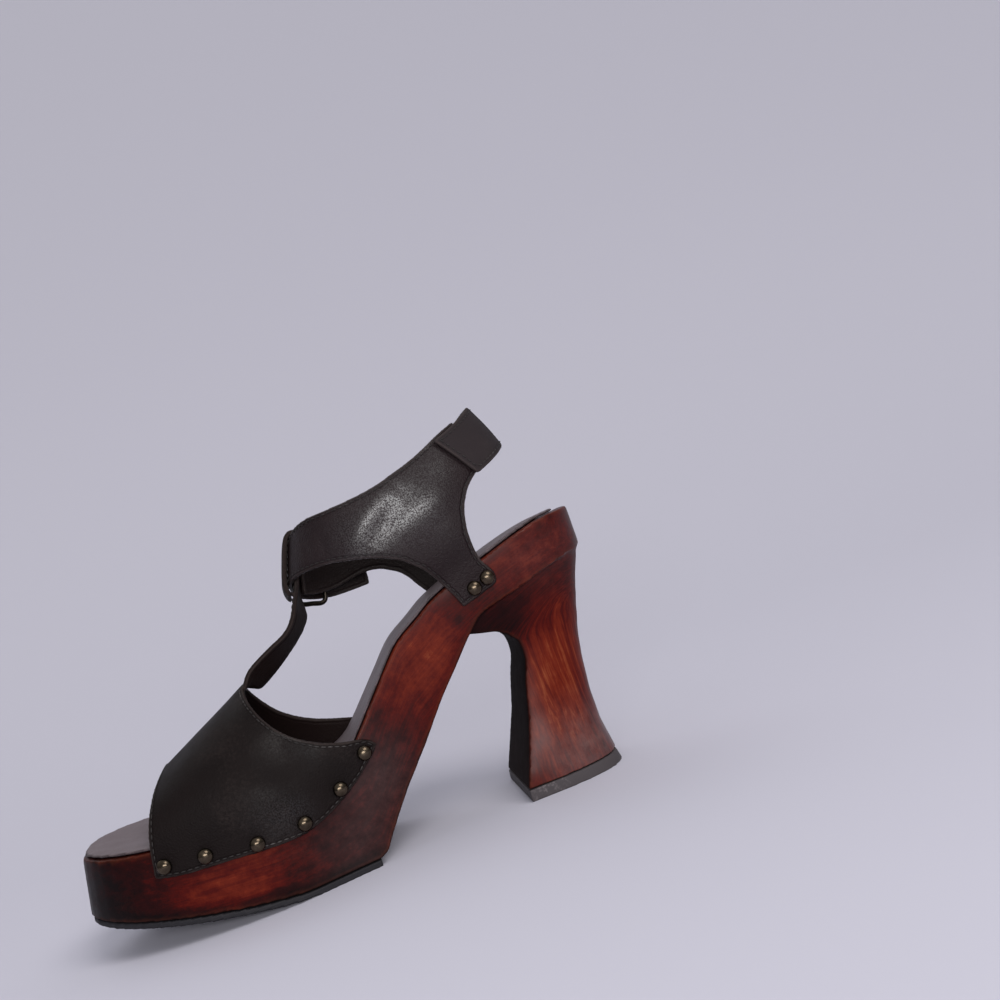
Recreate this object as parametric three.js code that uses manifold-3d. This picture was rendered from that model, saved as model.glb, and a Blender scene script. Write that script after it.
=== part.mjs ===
// Platform sandal for the right foot: a carved wooden clog sole with leather straps tacked on.
// Millimetres, +Z up. The toe points to -X and the inner side of the foot to -Y.
// The origin is on the floor, under the middle of the shoe.
import * as THREE from 'three';
import { mergeVertices } from 'three/addons/utils/BufferGeometryUtils.js';
import Module from 'manifold-3d';

const wasm = await Module();
wasm.setup();

// Driving dimensions
const LENGTH = 242; // foot of the toe block to the back of the heel seat
const SEAT_HEIGHT = 110; // floor to the wood under the heel of the foot
const BALL_WIDTH = 85; // wood across the ball of the foot
const HEEL_WIDTH = 56; // foot of the heel across its front
const TOE_LEAN = 5; // how far the toe block's top stands behind its foot
const OUTSOLE_THICKNESS = 2.6;
const LIFT_THICKNESS = 5;
const SOCK_THICKNESS = 1.3;
const SOCK_INSET = 1.2; // wood left bare round the insole sock
const SOCK_HEEL_INSET = 6; // wood left bare behind it
const LEATHER = 2; // wall of the upper
const CLEARANCE = 0.3; // between pieces that lie on each other
const CENTRE_STRAP_WIDTH = 13;
const STUD_DIAMETER = 6.2;
const STUD_HEIGHT = 2.2;
const BUCKLE_WIRE = 2.4; // thickness of the buckle's bars
const PRONG_WIRE = 1.8;
const PRONG_PLAY = 0.5; // between the prong and its hole in the strap

// Outline and top of the wood. at: share of LENGTH from the toe. inner, outer: half widths as
// shares of BALL_WIDTH. top: share of SEAT_HEIGHT. cant: fall of the top towards the outer side.
const SOLE = [
  { at: 0, inner: 0.08, outer: 0.08, top: 0.389, cant: 0 },
  { at: 0.008, inner: 0.17, outer: 0.16, top: 0.389, cant: 0 },
  { at: 0.03, inner: 0.27, outer: 0.25, top: 0.388, cant: 0 },
  { at: 0.06, inner: 0.35, outer: 0.32, top: 0.383, cant: 0 },
  { at: 0.1, inner: 0.415, outer: 0.385, top: 0.373, cant: 0 },
  { at: 0.145, inner: 0.46, outer: 0.435, top: 0.362, cant: 0 },
  { at: 0.185, inner: 0.485, outer: 0.47, top: 0.354, cant: 0 },
  { at: 0.25, inner: 0.5, outer: 0.495, top: 0.342, cant: 0 },
  { at: 0.333, inner: 0.488, outer: 0.5, top: 0.333, cant: 0 },
  { at: 0.415, inner: 0.437, outer: 0.472, top: 0.348, cant: 0.015 },
  { at: 0.452, inner: 0.412, outer: 0.45, top: 0.374, cant: 0.025 },
  { at: 0.49, inner: 0.39, outer: 0.426, top: 0.413, cant: 0.035 },
  { at: 0.511, inner: 0.38, outer: 0.412, top: 0.456, cant: 0.045 },
  { at: 0.578, inner: 0.352, outer: 0.372, top: 0.616, cant: 0.05 },
  { at: 0.624, inner: 0.344, outer: 0.356, top: 0.723, cant: 0.05 },
  { at: 0.67, inner: 0.341, outer: 0.352, top: 0.785, cant: 0.05 },
  { at: 0.707, inner: 0.342, outer: 0.353, top: 0.834, cant: 0.05 },
  { at: 0.76, inner: 0.353, outer: 0.359, top: 0.88, cant: 0.05 },
  { at: 0.811, inner: 0.363, outer: 0.364, top: 0.915, cant: 0.05 },
  { at: 0.871, inner: 0.357, outer: 0.357, top: 0.955, cant: 0.05 },
  { at: 0.926, inner: 0.318, outer: 0.318, top: 0.984, cant: 0.05 },
  { at: 0.957, inner: 0.256, outer: 0.256, top: 0.991, cant: 0.045 },
  { at: 0.985, inner: 0.16, outer: 0.16, top: 0.998, cant: 0.03 },
  { at: 1, inner: 0.05, outer: 0.05, top: 1.002, cant: 0 },
];

// Underside behind the tread, from its rear edge up the shank and along the heel seat
const SHANK = [
  { at: 0.487, under: 0 },
  { at: 0.51, under: 0.075 },
  { at: 0.565, under: 0.227 },
  { at: 0.613, under: 0.343 },
  { at: 0.671, under: 0.495 },
  { at: 0.718, under: 0.603 },
  { at: 0.746, under: 0.67 },
  { at: 0.777, under: 0.73 },
  { at: 0.816, under: 0.757 },
  { at: 0.856, under: 0.777 },
  { at: 0.898, under: 0.803 },
  { at: 0.946, under: 0.825 },
  { at: 1, under: 0.838 },
];
const TREAD_END = 0.487; // share of LENGTH where the tread stops
const TREAD_FLAT = 0.37; // share of LENGTH where the toe begins to rise
const TOE_SPRING = 0.154; // rise of the tread at the toe, share of SEAT_HEIGHT
const SPRING_POWER = 1.25; // how the rise grows towards the toe

// The heel from the floor up. front, back: shares of LENGTH. width: share of HEEL_WIDTH.
// roundness: exponent of its D section.
const HEEL = [
  { height: 0, front: 0.752, back: 0.943, width: 1, roundness: 3.3 },
  { height: 0.048, front: 0.755, back: 0.938, width: 0.985, roundness: 3.2 },
  { height: 0.172, front: 0.777, back: 0.93, width: 0.9, roundness: 2.9 },
  { height: 0.288, front: 0.797, back: 0.931, width: 0.8, roundness: 2.6 },
  { height: 0.417, front: 0.814, back: 0.938, width: 0.725, roundness: 2.4 },
  { height: 0.5, front: 0.828, back: 0.945, width: 0.695, roundness: 2.3 },
  { height: 0.544, front: 0.83, back: 0.95, width: 0.69, roundness: 2.3 },
  { height: 0.583, front: 0.827, back: 0.956, width: 0.705, roundness: 2.3 },
  { height: 0.617, front: 0.813, back: 0.96, width: 0.735, roundness: 2.3 },
  { height: 0.643, front: 0.797, back: 0.964, width: 0.77, roundness: 2.3 },
  { height: 0.658, front: 0.769, back: 0.967, width: 0.81, roundness: 2.3 },
  { height: 0.674, front: 0.745, back: 0.969, width: 0.85, roundness: 2.3 },
  { height: 0.735, front: 0.741, back: 0.978, width: 0.94, roundness: 2.3 },
  { height: 0.8, front: 0.741, back: 0.99, width: 1.02, roundness: 2.3 },
  { height: 0.835, front: 0.741, back: 0.995, width: 1.045, roundness: 2.3 },
];

// The vamp over the ball. edge: its lower edge on the wood, crown: its ridge, both shares of
// SEAT_HEIGHT. roundness: exponent of its arch.
const VAMP = [
  { at: 0.141, edge: 0.269, crown: 0.515, roundness: 2.7 },
  { at: 0.178, edge: 0.252, crown: 0.558, roundness: 2.7 },
  { at: 0.252, edge: 0.244, crown: 0.642, roundness: 2.5 },
  { at: 0.334, edge: 0.227, crown: 0.735, roundness: 2.1 },
  { at: 0.387, edge: 0.222, crown: 0.803, roundness: 1.7 },
  { at: 0.432, edge: 0.257, crown: 0.857, roundness: 1.7 },
  { at: 0.48, edge: 0.308, crown: 0.912, roundness: 1.8 },
  { at: 0.513, edge: 0.366, crown: 0.95, roundness: 1.9 },
  { at: 0.541, edge: 0.425, crown: 0.98, roundness: 2 },
];
const VAMP_FRONT = { side: 0.141, crown: 0.186 }; // front edge at the wood and on the ridge
const VAMP_REAR = { side: 0.541, crown: 0.359 }; // rear edge, likewise
const FRONT_SWEEP = 1.2; // how the front edge leans back towards the ridge
const REAR_SWEEP = 4; // how the rear edge swings forward towards the ridge

// The centre strap from the vamp's ridge to its loop: its inner-side and outer-side edges.
// x is a share of LENGTH from the toe, z a share of SEAT_HEIGHT.
const CENTRE_STRAP = [
  { innerX: 0.365, innerZ: 0.782, outerX: 0.384, outerZ: 0.733 },
  { innerX: 0.377, innerZ: 0.816, outerX: 0.402, outerZ: 0.752 },
  { innerX: 0.402, innerZ: 0.848, outerX: 0.427, outerZ: 0.785 },
  { innerX: 0.43, innerZ: 0.876, outerX: 0.451, outerZ: 0.824 },
  { innerX: 0.453, innerZ: 0.898, outerX: 0.47, outerZ: 0.857 },
  { innerX: 0.469, innerZ: 0.928, outerX: 0.488, outerZ: 0.895 },
  { innerX: 0.481, innerZ: 0.966, outerX: 0.502, outerZ: 0.935 },
];

// The ankle opening as rings at several heights. front, back: shares of LENGTH.
// width: half width as a share of BALL_WIDTH.
const ANKLE = [
  { height: 0.773, front: 0.457, back: 0.977, width: 0.392 },
  { height: 0.955, front: 0.479, back: 0.957, width: 0.4 },
  { height: 1.1, front: 0.496, back: 0.938, width: 0.406 },
  { height: 1.245, front: 0.52, back: 0.921, width: 0.394 },
  { height: 1.37, front: 0.541, back: 0.903, width: 0.365 },
  { height: 1.5, front: 0.564, back: 0.874, width: 0.325 },
];
const ANKLE_ROUNDNESS = 2.3; // exponent of the rings
const FREE_RISE = 0.13; // height over the wood at which the quarters' legs leave its side, as a share

// The quarters. turn: degrees round the ankle from the front, minus past the front.
// height: share of SEAT_HEIGHT. Each row goes from the lower edge to the top edge.
const INNER_QUARTER = {
  side: -1,
  band: [
    { lowTurn: -72, lowHeight: 0.957, topTurn: -72, topHeight: 1.15 },
    { lowTurn: -62, lowHeight: 0.955, topTurn: -61, topHeight: 1.152 },
    { lowTurn: -48, lowHeight: 0.962, topTurn: -46, topHeight: 1.16 },
    { lowTurn: -24, lowHeight: 1.007, topTurn: -23, topHeight: 1.182 },
    { lowTurn: 0, lowHeight: 1.06, topTurn: 0, topHeight: 1.213 },
    { lowTurn: 17, lowHeight: 1.088, topTurn: 15, topHeight: 1.262 },
    { lowTurn: 34, lowHeight: 1.1, topTurn: 32, topHeight: 1.285 },
    { lowTurn: 50, lowHeight: 1.1, topTurn: 47, topHeight: 1.29 },
    { lowTurn: 64, lowHeight: 1.083, topTurn: 60, topHeight: 1.295 },
    { lowTurn: 76, lowHeight: 1.055, topTurn: 73, topHeight: 1.304 },
    { lowTurn: 84, lowHeight: 1.016, topTurn: 82, topHeight: 1.317 },
    { lowTurn: 88.5, lowHeight: 0.97, topTurn: 87, topHeight: 1.332 },
    { lowTurn: 95, lowHeight: 1.008, topTurn: 94.5, topHeight: 1.355 },
    { lowTurn: 103, lowHeight: 1.065, topTurn: 103, topHeight: 1.38 },
    { lowTurn: 111.5, lowHeight: 1.128, topTurn: 111, topHeight: 1.403 },
    { lowTurn: 117, lowHeight: 1.188, topTurn: 117, topHeight: 1.418 },
    { lowTurn: 126.5, lowHeight: 1.235, topTurn: 125.5, topHeight: 1.434 },
    { lowTurn: 137, lowHeight: 1.26, topTurn: 135, topHeight: 1.448 },
  ],
  root: [11, 14],
  legShift: 0,
};
const OUTER_QUARTER = {
  side: 1,
  band: [
    { lowTurn: 27, lowHeight: 1.012, topTurn: 27, topHeight: 1.168 },
    { lowTurn: 38, lowHeight: 0.995, topTurn: 37, topHeight: 1.156 },
    { lowTurn: 50, lowHeight: 0.988, topTurn: 48, topHeight: 1.152 },
    { lowTurn: 60, lowHeight: 0.996, topTurn: 58, topHeight: 1.165 },
    { lowTurn: 70, lowHeight: 1.01, topTurn: 67, topHeight: 1.185 },
    { lowTurn: 79, lowHeight: 0.997, topTurn: 75, topHeight: 1.21 },
    { lowTurn: 85, lowHeight: 0.962, topTurn: 82, topHeight: 1.24 },
    { lowTurn: 92, lowHeight: 0.985, topTurn: 90, topHeight: 1.275 },
    { lowTurn: 101, lowHeight: 1.045, topTurn: 99, topHeight: 1.315 },
    { lowTurn: 110, lowHeight: 1.115, topTurn: 108, topHeight: 1.352 },
    { lowTurn: 117, lowHeight: 1.175, topTurn: 116, topHeight: 1.382 },
    { lowTurn: 127, lowHeight: 1.222, topTurn: 125, topHeight: 1.41 },
    { lowTurn: 138, lowHeight: 1.25, topTurn: 135, topHeight: 1.432 },
  ],
  root: [6, 9],
  legShift: -2.7,
};

// The leg that runs from either quarter down to its tab on the wood
const LEG = [
  { frontTurn: 90.5, frontHeight: 0.923, rearTurn: 108, rearHeight: 1.042 },
  { frontTurn: 92.2, frontHeight: 0.882, rearTurn: 107.6, rearHeight: 0.977 },
  { frontTurn: 93.9, frontHeight: 0.842, rearTurn: 108.4, rearHeight: 0.92 },
  { frontTurn: 95, frontHeight: 0.812, rearTurn: 111.2, rearHeight: 0.872 },
  { frontTurn: 95.9, frontHeight: 0.782, rearTurn: 110.5, rearHeight: 0.829 },
];

// The heel band behind the ankle, from its inner seam round the back to its outer seam
const HEEL_BAND = [
  { lowTurn: 126, lowHeight: 1.232, topTurn: 111.5, topHeight: 1.4 },
  { lowTurn: 146, lowHeight: 1.27, topTurn: 140, topHeight: 1.455 },
  { lowTurn: 165, lowHeight: 1.298, topTurn: 162, topHeight: 1.485 },
  { lowTurn: 180, lowHeight: 1.305, topTurn: 180, topHeight: 1.49 },
  { lowTurn: 195, lowHeight: 1.295, topTurn: 198, topHeight: 1.48 },
  { lowTurn: 213, lowHeight: 1.262, topTurn: 219, topHeight: 1.446 },
  { lowTurn: 234, lowHeight: 1.222, topTurn: 247, topHeight: 1.39 },
];

// Studs along the vamp's lower edge (shares of LENGTH and SEAT_HEIGHT) and on each quarter's tab
const VAMP_STUDS = [
  { at: 0.163, height: 0.304 },
  { at: 0.228, height: 0.29 },
  { at: 0.309, height: 0.262 },
  { at: 0.388, height: 0.263 },
  { at: 0.459, height: 0.325 },
  { at: 0.515, height: 0.412 },
];
const TAB_STUDS = [
  { turn: 101.7, height: 0.835 },
  { turn: 107.6, height: 0.856 },
];

// The buckle on the outer side, in degrees past the front of the ankle
const BUCKLE = { front: 31, hinge: 47.3 }; // its bar over the strap and its bar behind the strap
const PRONG = { start: 48.3, bend: 46.3, out: 42.8, tip: 28.5 }; // its ends and bends
const PRONG_SLOT = { from: 40, to: 50.5 }; // hole in the strap
const ONTO_QUARTER = { from: 11, to: 24 }; // where the ankle strap rises onto the outer quarter
const ONTO_HINGE = { from: 30, to: 45 }; // where it rises on over the buckle's rear bar
const OFF_HINGE = { from: 51, to: 63 }; // where it comes down again behind it

// Number of steps in the faceted surfaces
const OUTLINE_STEPS = 30;
const PROFILE_STEPS = 36;
const BLOCK_STEPS = 4;
const HEEL_STEPS = 14;
const VAMP_ROWS = 10;
const VAMP_COLUMNS = 9;
const LOOP_STEPS = 6;
const QUARTER_STEPS = 2;
const QUARTER_COLUMNS = 5;
const ROUND_STEPS = 16;
const WIRE_SIDES = 8;
const DOME_STEPS = 4;

// Materials
const finish = (color, roughness, metalness = 0) => new THREE.MeshStandardMaterial({
  color, roughness, metalness,
});
const wood = finish(0x6e2a1c, 0.35);
const rubber = finish(0x23211f, 0.7);
const sockLeather = finish(0x58494d, 0.5);
const leather = finish(0x231d1e, 0.45);
const bandLeather = finish(0x352c2f, 0.75);
const brass = finish(0x5c4f38, 0.35, 0.9);

// Place of a share of LENGTH, and the share at a place
const placeX = (share) => (share - 0.5) * LENGTH;
const shareX = (x) => x / LENGTH + 0.5;

// Smooth value of a table's column between its rows
function readColumn(table, key, column, place) {
  const last = table.length - 1;
  let row = 0;
  while (row < last - 1 && place > table[row + 1][key]) row += 1;
  const slope = (i) => {
    const before = table[Math.max(i - 1, 0)];
    const after = table[Math.min(i + 1, last)];
    return (after[column] - before[column]) / (after[key] - before[key]);
  };
  const a = table[row];
  const b = table[row + 1];
  const span = b[key] - a[key];
  const t = THREE.MathUtils.clamp((place - a[key]) / span, 0, 1);
  const fromA = a[column] * (1 + 2 * t) + slope(row) * span * t;
  const fromB = b[column] * (3 - 2 * t) - slope(row + 1) * span * (1 - t);
  return fromA * (1 - t) ** 2 + fromB * t ** 2;
}

// A table's rows with more rows put between them, on a smooth curve
function refineRows(rows, steps) {
  const indexed = rows.map((row, index) => ({ index, ...row }));
  const count = (rows.length - 1) * steps;
  return Array.from({ length: count + 1 }, (_, i) => {
    const index = i / steps;
    const names = Object.keys(rows[0]);
    return Object.fromEntries(names.map((name) => [name, readColumn(indexed, 'index', name, index)]));
  });
}

// Closed geometry from positions and triangles, turned so that its faces point out
function solidGeometry(points, triangles) {
  let volume = 0;
  for (const [a, b, c] of triangles) {
    volume += points[a].dot(new THREE.Vector3().crossVectors(points[b], points[c]));
  }
  const index = triangles.flatMap(([a, b, c]) => (volume > 0 ? [a, b, c] : [a, c, b]));
  const geometry = new THREE.BufferGeometry();
  const positions = points.flatMap((p) => p.toArray());
  geometry.setAttribute('position', new THREE.Float32BufferAttribute(positions, 3));
  geometry.setIndex(index);
  return geometry;
}

// Loft through rings with equal numbers of points, closed by a fan at each end
function loft(rings) {
  const sides = rings[0].length;
  const points = rings.flat();
  const triangles = [];
  for (let r = 0; r < rings.length - 1; r += 1) {
    for (let i = 0; i < sides; i += 1) {
      const a = r * sides + i;
      const b = r * sides + ((i + 1) % sides);
      triangles.push([a, b, b + sides], [a, b + sides, a + sides]);
    }
  }
  for (const [ring, flip] of [[0, true], [rings.length - 1, false]]) {
    const middle = new THREE.Vector3();
    rings[ring].forEach((p) => middle.addScaledVector(p, 1 / sides));
    const centre = points.push(middle) - 1;
    for (let i = 0; i < sides; i += 1) {
      const a = ring * sides + i;
      const b = ring * sides + ((i + 1) % sides);
      triangles.push(flip ? [centre, b, a] : [centre, a, b]);
    }
  }
  return solidGeometry(points, triangles);
}

// Slab of leather: a patch of quads through its middle, given half the wall on each side
function slab(middle, quads, wall) {
  const normals = middle.map(() => new THREE.Vector3());
  for (const quad of quads) {
    const [a, b, c, d] = quad.map((i) => middle[i]);
    const across = new THREE.Vector3().subVectors(c, a);
    const along = new THREE.Vector3().subVectors(d, b);
    const normal = new THREE.Vector3().crossVectors(across, along);
    quad.forEach((i) => normals[i].add(normal));
  }
  normals.forEach((n) => n.normalize());
  const count = middle.length;
  const offset = (sign) => middle.map((p, i) => p.clone().addScaledVector(normals[i], (sign * wall) / 2));
  const points = [...offset(1), ...offset(-1)];
  const triangles = [];
  const edges = new Map();
  for (const [a, b, c, d] of quads) {
    triangles.push([a, b, c], [a, c, d]);
    triangles.push([a + count, c + count, b + count], [a + count, d + count, c + count]);
    for (const [i, j] of [[a, b], [b, c], [c, d], [d, a]]) {
      if (!edges.delete(`${j} ${i}`)) edges.set(`${i} ${j}`, [i, j]);
    }
  }
  for (const [i, j] of edges.values()) {
    triangles.push([j, i, i + count], [j, i + count, j + count]);
  }
  return solidGeometry(points, triangles);
}

// Quads of a grid whose points are numbered row by row
function gridQuads(rows, columns, number = (r, c) => r * columns + c) {
  const quads = [];
  for (let r = 0; r < rows - 1; r += 1) {
    for (let c = 0; c < columns - 1; c += 1) {
      quads.push([number(r, c), number(r, c + 1), number(r + 1, c + 1), number(r + 1, c)]);
    }
  }
  return quads;
}

// Joins and cuts of closed geometries
function toManifold(geometry) {
  const bare = geometry.clone();
  bare.deleteAttribute('normal');
  bare.deleteAttribute('uv');
  const merged = mergeVertices(bare, 1e-4);
  return new wasm.Manifold(new wasm.Mesh({
    numProp: 3,
    vertProperties: new Float32Array(merged.attributes.position.array),
    triVerts: new Uint32Array(merged.index.array),
  }));
}

function toGeometry(manifold) {
  const mesh = manifold.getMesh();
  const geometry = new THREE.BufferGeometry();
  geometry.setAttribute('position', new THREE.Float32BufferAttribute(mesh.vertProperties, 3));
  geometry.setIndex(Array.from(mesh.triVerts));
  return geometry;
}

// The wood's outline and top
const soleHalfWidth = (x, side) => {
  const column = side < 0 ? 'inner' : 'outer';
  return readColumn(SOLE, 'at', column, shareX(x)) * BALL_WIDTH;
};
const soleCant = (x) => readColumn(SOLE, 'at', 'cant', shareX(x));
const soleTop = (x, y = 0) => readColumn(SOLE, 'at', 'top', shareX(x)) * SEAT_HEIGHT - y * soleCant(x);

// Underside of the tread: flat under the ball and rising to the toe
function treadHeight(x) {
  const reach = Math.max(TREAD_FLAT - shareX(x), 0) / TREAD_FLAT;
  return TOE_SPRING * SEAT_HEIGHT * reach ** SPRING_POWER;
}

// How far the outline is drawn back at a height, which leans the toe block
function toeLean(x, z) {
  const fade = Math.max(1 - shareX(x) / 0.185, 0) ** 2;
  const foot = treadHeight(placeX(0));
  return TOE_LEAN * fade * ((z - foot) / (soleTop(placeX(0)) - foot));
}

// Upright block with the sole's outline, drawn in by an inset at the sides and toe and
// another one at the heel
function outlineBlock(inset, heelInset) {
  const from = placeX(0) + inset;
  const to = placeX(1) - heelInset;
  const row = (z) => {
    const ring = [];
    for (const side of [-1, 1]) {
      for (let i = 0; i <= OUTLINE_STEPS; i += 1) {
        const step = side < 0 ? i : OUTLINE_STEPS - i;
        const share = (1 - Math.cos((Math.PI * step) / OUTLINE_STEPS)) / 2;
        const x = from + (to - from) * share;
        const outlineX = placeX(share);
        const y = side * (soleHalfWidth(outlineX, side) - inset);
        ring.push(new THREE.Vector3(x + toeLean(x, z), y, z));
      }
    }
    return ring;
  };
  return toManifold(loft([row(-SEAT_HEIGHT / 10), row(SEAT_HEIGHT * 1.2)]));
}

// Block across the whole shoe between two heights that change along it. What stands higher than
// canted(x) falls towards the outer side like the wood's top.
function profileBlock(low, high, from, to, steps, canted) {
  const shape = new THREE.Shape();
  const places = Array.from({ length: steps + 1 }, (_, i) => from + ((to - from) * i) / steps);
  places.forEach((x, i) => (i ? shape.lineTo(x, low(x)) : shape.moveTo(x, low(x))));
  places.reverse().forEach((x) => shape.lineTo(x, high(x)));
  const across = { depth: 2 * BALL_WIDTH, steps: BLOCK_STEPS, bevelEnabled: false };
  const geometry = new THREE.ExtrudeGeometry(shape, across);
  geometry.translate(0, 0, -BALL_WIDTH);
  geometry.rotateX(Math.PI / 2);
  const corners = geometry.attributes.position;
  for (let i = 0; i < corners.count; i += 1) {
    const [x, y, z] = [corners.getX(i), corners.getY(i), corners.getZ(i)];
    if (z > canted(x)) corners.setZ(i, z - y * soleCant(x));
  }
  return toManifold(geometry);
}

// D section of the heel at a height: straight breast in front, rounded at the sides and back
function heelRing(z) {
  const read = (column) => readColumn(HEEL, 'height', column, z / SEAT_HEIGHT);
  const front = placeX(read('front'));
  const depth = placeX(read('back')) - front;
  const half = (read('width') * HEEL_WIDTH) / 2;
  const power = 2 / read('roundness');
  const ring = [];
  for (let i = 0; i <= HEEL_STEPS; i += 1) {
    const angle = Math.PI * (i / HEEL_STEPS - 0.5);
    const along = Math.cos(angle) ** power;
    const across = Math.sign(angle) * Math.abs(Math.sin(angle)) ** power;
    ring.push(new THREE.Vector3(front + depth * along, half * across, z));
  }
  return ring;
}

// Wooden sole: the outline block cut to its side profile, with the flared heel grown out of it
function woodenSole() {
  const underside = (x) => {
    const tread = treadHeight(x) + OUTSOLE_THICKNESS + CLEARANCE;
    const share = shareX(x);
    if (share < TREAD_END) return tread;
    return Math.max(readColumn(SHANK, 'at', 'under', share) * SEAT_HEIGHT, tread);
  };
  const middle = (x) => (underside(x) + soleTop(x)) / 2;
  const high = (x) => soleTop(x);
  const profile = profileBlock(underside, high, placeX(-0.02), placeX(1.02), PROFILE_STEPS * 2, middle);
  const body = outlineBlock(0, 0).intersect(profile);
  const bottom = LIFT_THICKNESS + CLEARANCE;
  const heights = HEEL.map((row) => row.height * SEAT_HEIGHT).filter((z) => z > bottom + 1);
  const heel = toManifold(loft([bottom, ...heights].map(heelRing)));
  return toGeometry(body.add(heel));
}

// Rubber tread under the forefoot
function forefootOutsole() {
  const top = (x) => treadHeight(x) + OUTSOLE_THICKNESS;
  const level = () => SEAT_HEIGHT;
  const profile = profileBlock(treadHeight, top, placeX(-0.02), placeX(TREAD_END), PROFILE_STEPS, level);
  return toGeometry(outlineBlock(0, 0).intersect(profile));
}

// Rubber lift under the heel
const heelLift = () => loft([heelRing(0), heelRing(LIFT_THICKNESS)]);

// Leather sock glued to the top of the wood
function insoleSock() {
  const low = (x) => soleTop(x) + CLEARANCE;
  const high = (x) => low(x) + SOCK_THICKNESS;
  const profile = profileBlock(low, high, placeX(-0.02), placeX(1.02), PROFILE_STEPS * 2, () => 0);
  return toGeometry(outlineBlock(SOCK_INSET, SOCK_HEEL_INSET).intersect(profile));
}

// Middle of a leather wall that lies against the side of the wood
const besideWood = (x, side) => soleHalfWidth(x, side) + CLEARANCE + LEATHER / 2;

// Measures of the vamp's section at a place along the shoe
function vampArch(x, side) {
  const read = (column) => readColumn(VAMP, 'at', column, shareX(x));
  const edge = read('edge') * SEAT_HEIGHT;
  const crown = read('crown') * SEAT_HEIGHT;
  const half = besideWood(x, side);
  const shoulder = Math.max(soleTop(x, side * half), edge);
  const wall = shoulder - edge;
  const arch = 0.75 * (half + crown - shoulder);
  return { edge, crown, shoulder, half, wallShare: wall / (wall + arch), power: 2 / read('roundness') };
}

// Point of that section. rise goes from 0 at the lower edge, up the side of the wood and over
// the arch, to 1 on the ridge.
function vampSection(x, side, rise) {
  const { edge, crown, shoulder, half, wallShare, power } = vampArch(x, side);
  if (rise < wallShare) {
    return new THREE.Vector3(x, side * half, edge + (shoulder - edge) * (rise / wallShare));
  }
  const angle = ((rise - wallShare) / (1 - wallShare)) * (Math.PI / 2);
  const y = half * Math.max(Math.cos(angle), 0) ** power;
  return new THREE.Vector3(x, side * y, shoulder + (crown - shoulder) * Math.sin(angle) ** power);
}

// Point of the vamp: along from 0 at its front edge to 1 at its rear edge
function vampPoint(along, side, rise) {
  const soft = 0.1; // rounds the front edge's tip on the ridge
  const down = (Math.hypot(1 - rise, soft) - soft) / (Math.hypot(1, soft) - soft);
  const { lerp } = THREE.MathUtils;
  const front = lerp(VAMP_FRONT.side, VAMP_FRONT.crown, (1 - down) ** FRONT_SWEEP);
  const reach = (1 - rise) ** REAR_SWEEP * (1 + REAR_SWEEP * rise);
  const rear = lerp(VAMP_REAR.crown, VAMP_REAR.side, reach);
  return vampSection(placeX(lerp(front, rear, along)), side, rise);
}

// Point of the ankle's leather. lift moves it outward by that much.
function anklePoint(side, turn, height, lift = 0) {
  const read = (column) => readColumn(ANKLE, 'height', column, height);
  const front = placeX(read('front'));
  const back = placeX(read('back'));
  const half = read('width') * BALL_WIDTH;
  const power = 2 / ANKLE_ROUNDNESS;
  const onRing = (degrees) => {
    const angle = THREE.MathUtils.degToRad(degrees);
    const along = Math.sign(Math.cos(angle)) * Math.abs(Math.cos(angle)) ** power;
    const across = Math.sign(Math.sin(angle)) * Math.abs(Math.sin(angle)) ** power;
    const x = (front + back) / 2 - ((back - front) / 2) * along;
    return new THREE.Vector2(x, side * half * across);
  };
  const place = onRing(turn);
  const tangent = onRing(turn + 2).sub(onRing(turn - 2)).normalize();
  const outward = new THREE.Vector2(-tangent.y, tangent.x);
  if (outward.dot(place.clone().sub(new THREE.Vector2((front + back) / 2, 0))) < 0) outward.negate();
  place.addScaledVector(outward, lift);
  const z = height * SEAT_HEIGHT;
  const top = soleTop(place.x, place.y);
  const free = THREE.MathUtils.smoothstep(z, top, top + FREE_RISE * SEAT_HEIGHT);
  const bySide = Math.sign(place.y) || 1;
  const woodY = bySide * (besideWood(place.x, bySide) + lift);
  return new THREE.Vector3(place.x, THREE.MathUtils.lerp(woodY, place.y, free), z);
}

// Turn at which the front of the ankle is a given distance from the middle plane
function frontTurn(halfWidth) {
  const half = readColumn(ANKLE, 'height', 'width', INNER_QUARTER.band[4].topHeight) * BALL_WIDTH;
  return THREE.MathUtils.radToDeg(Math.asin((halfWidth / half) ** (ANKLE_ROUNDNESS / 2)));
}

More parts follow.
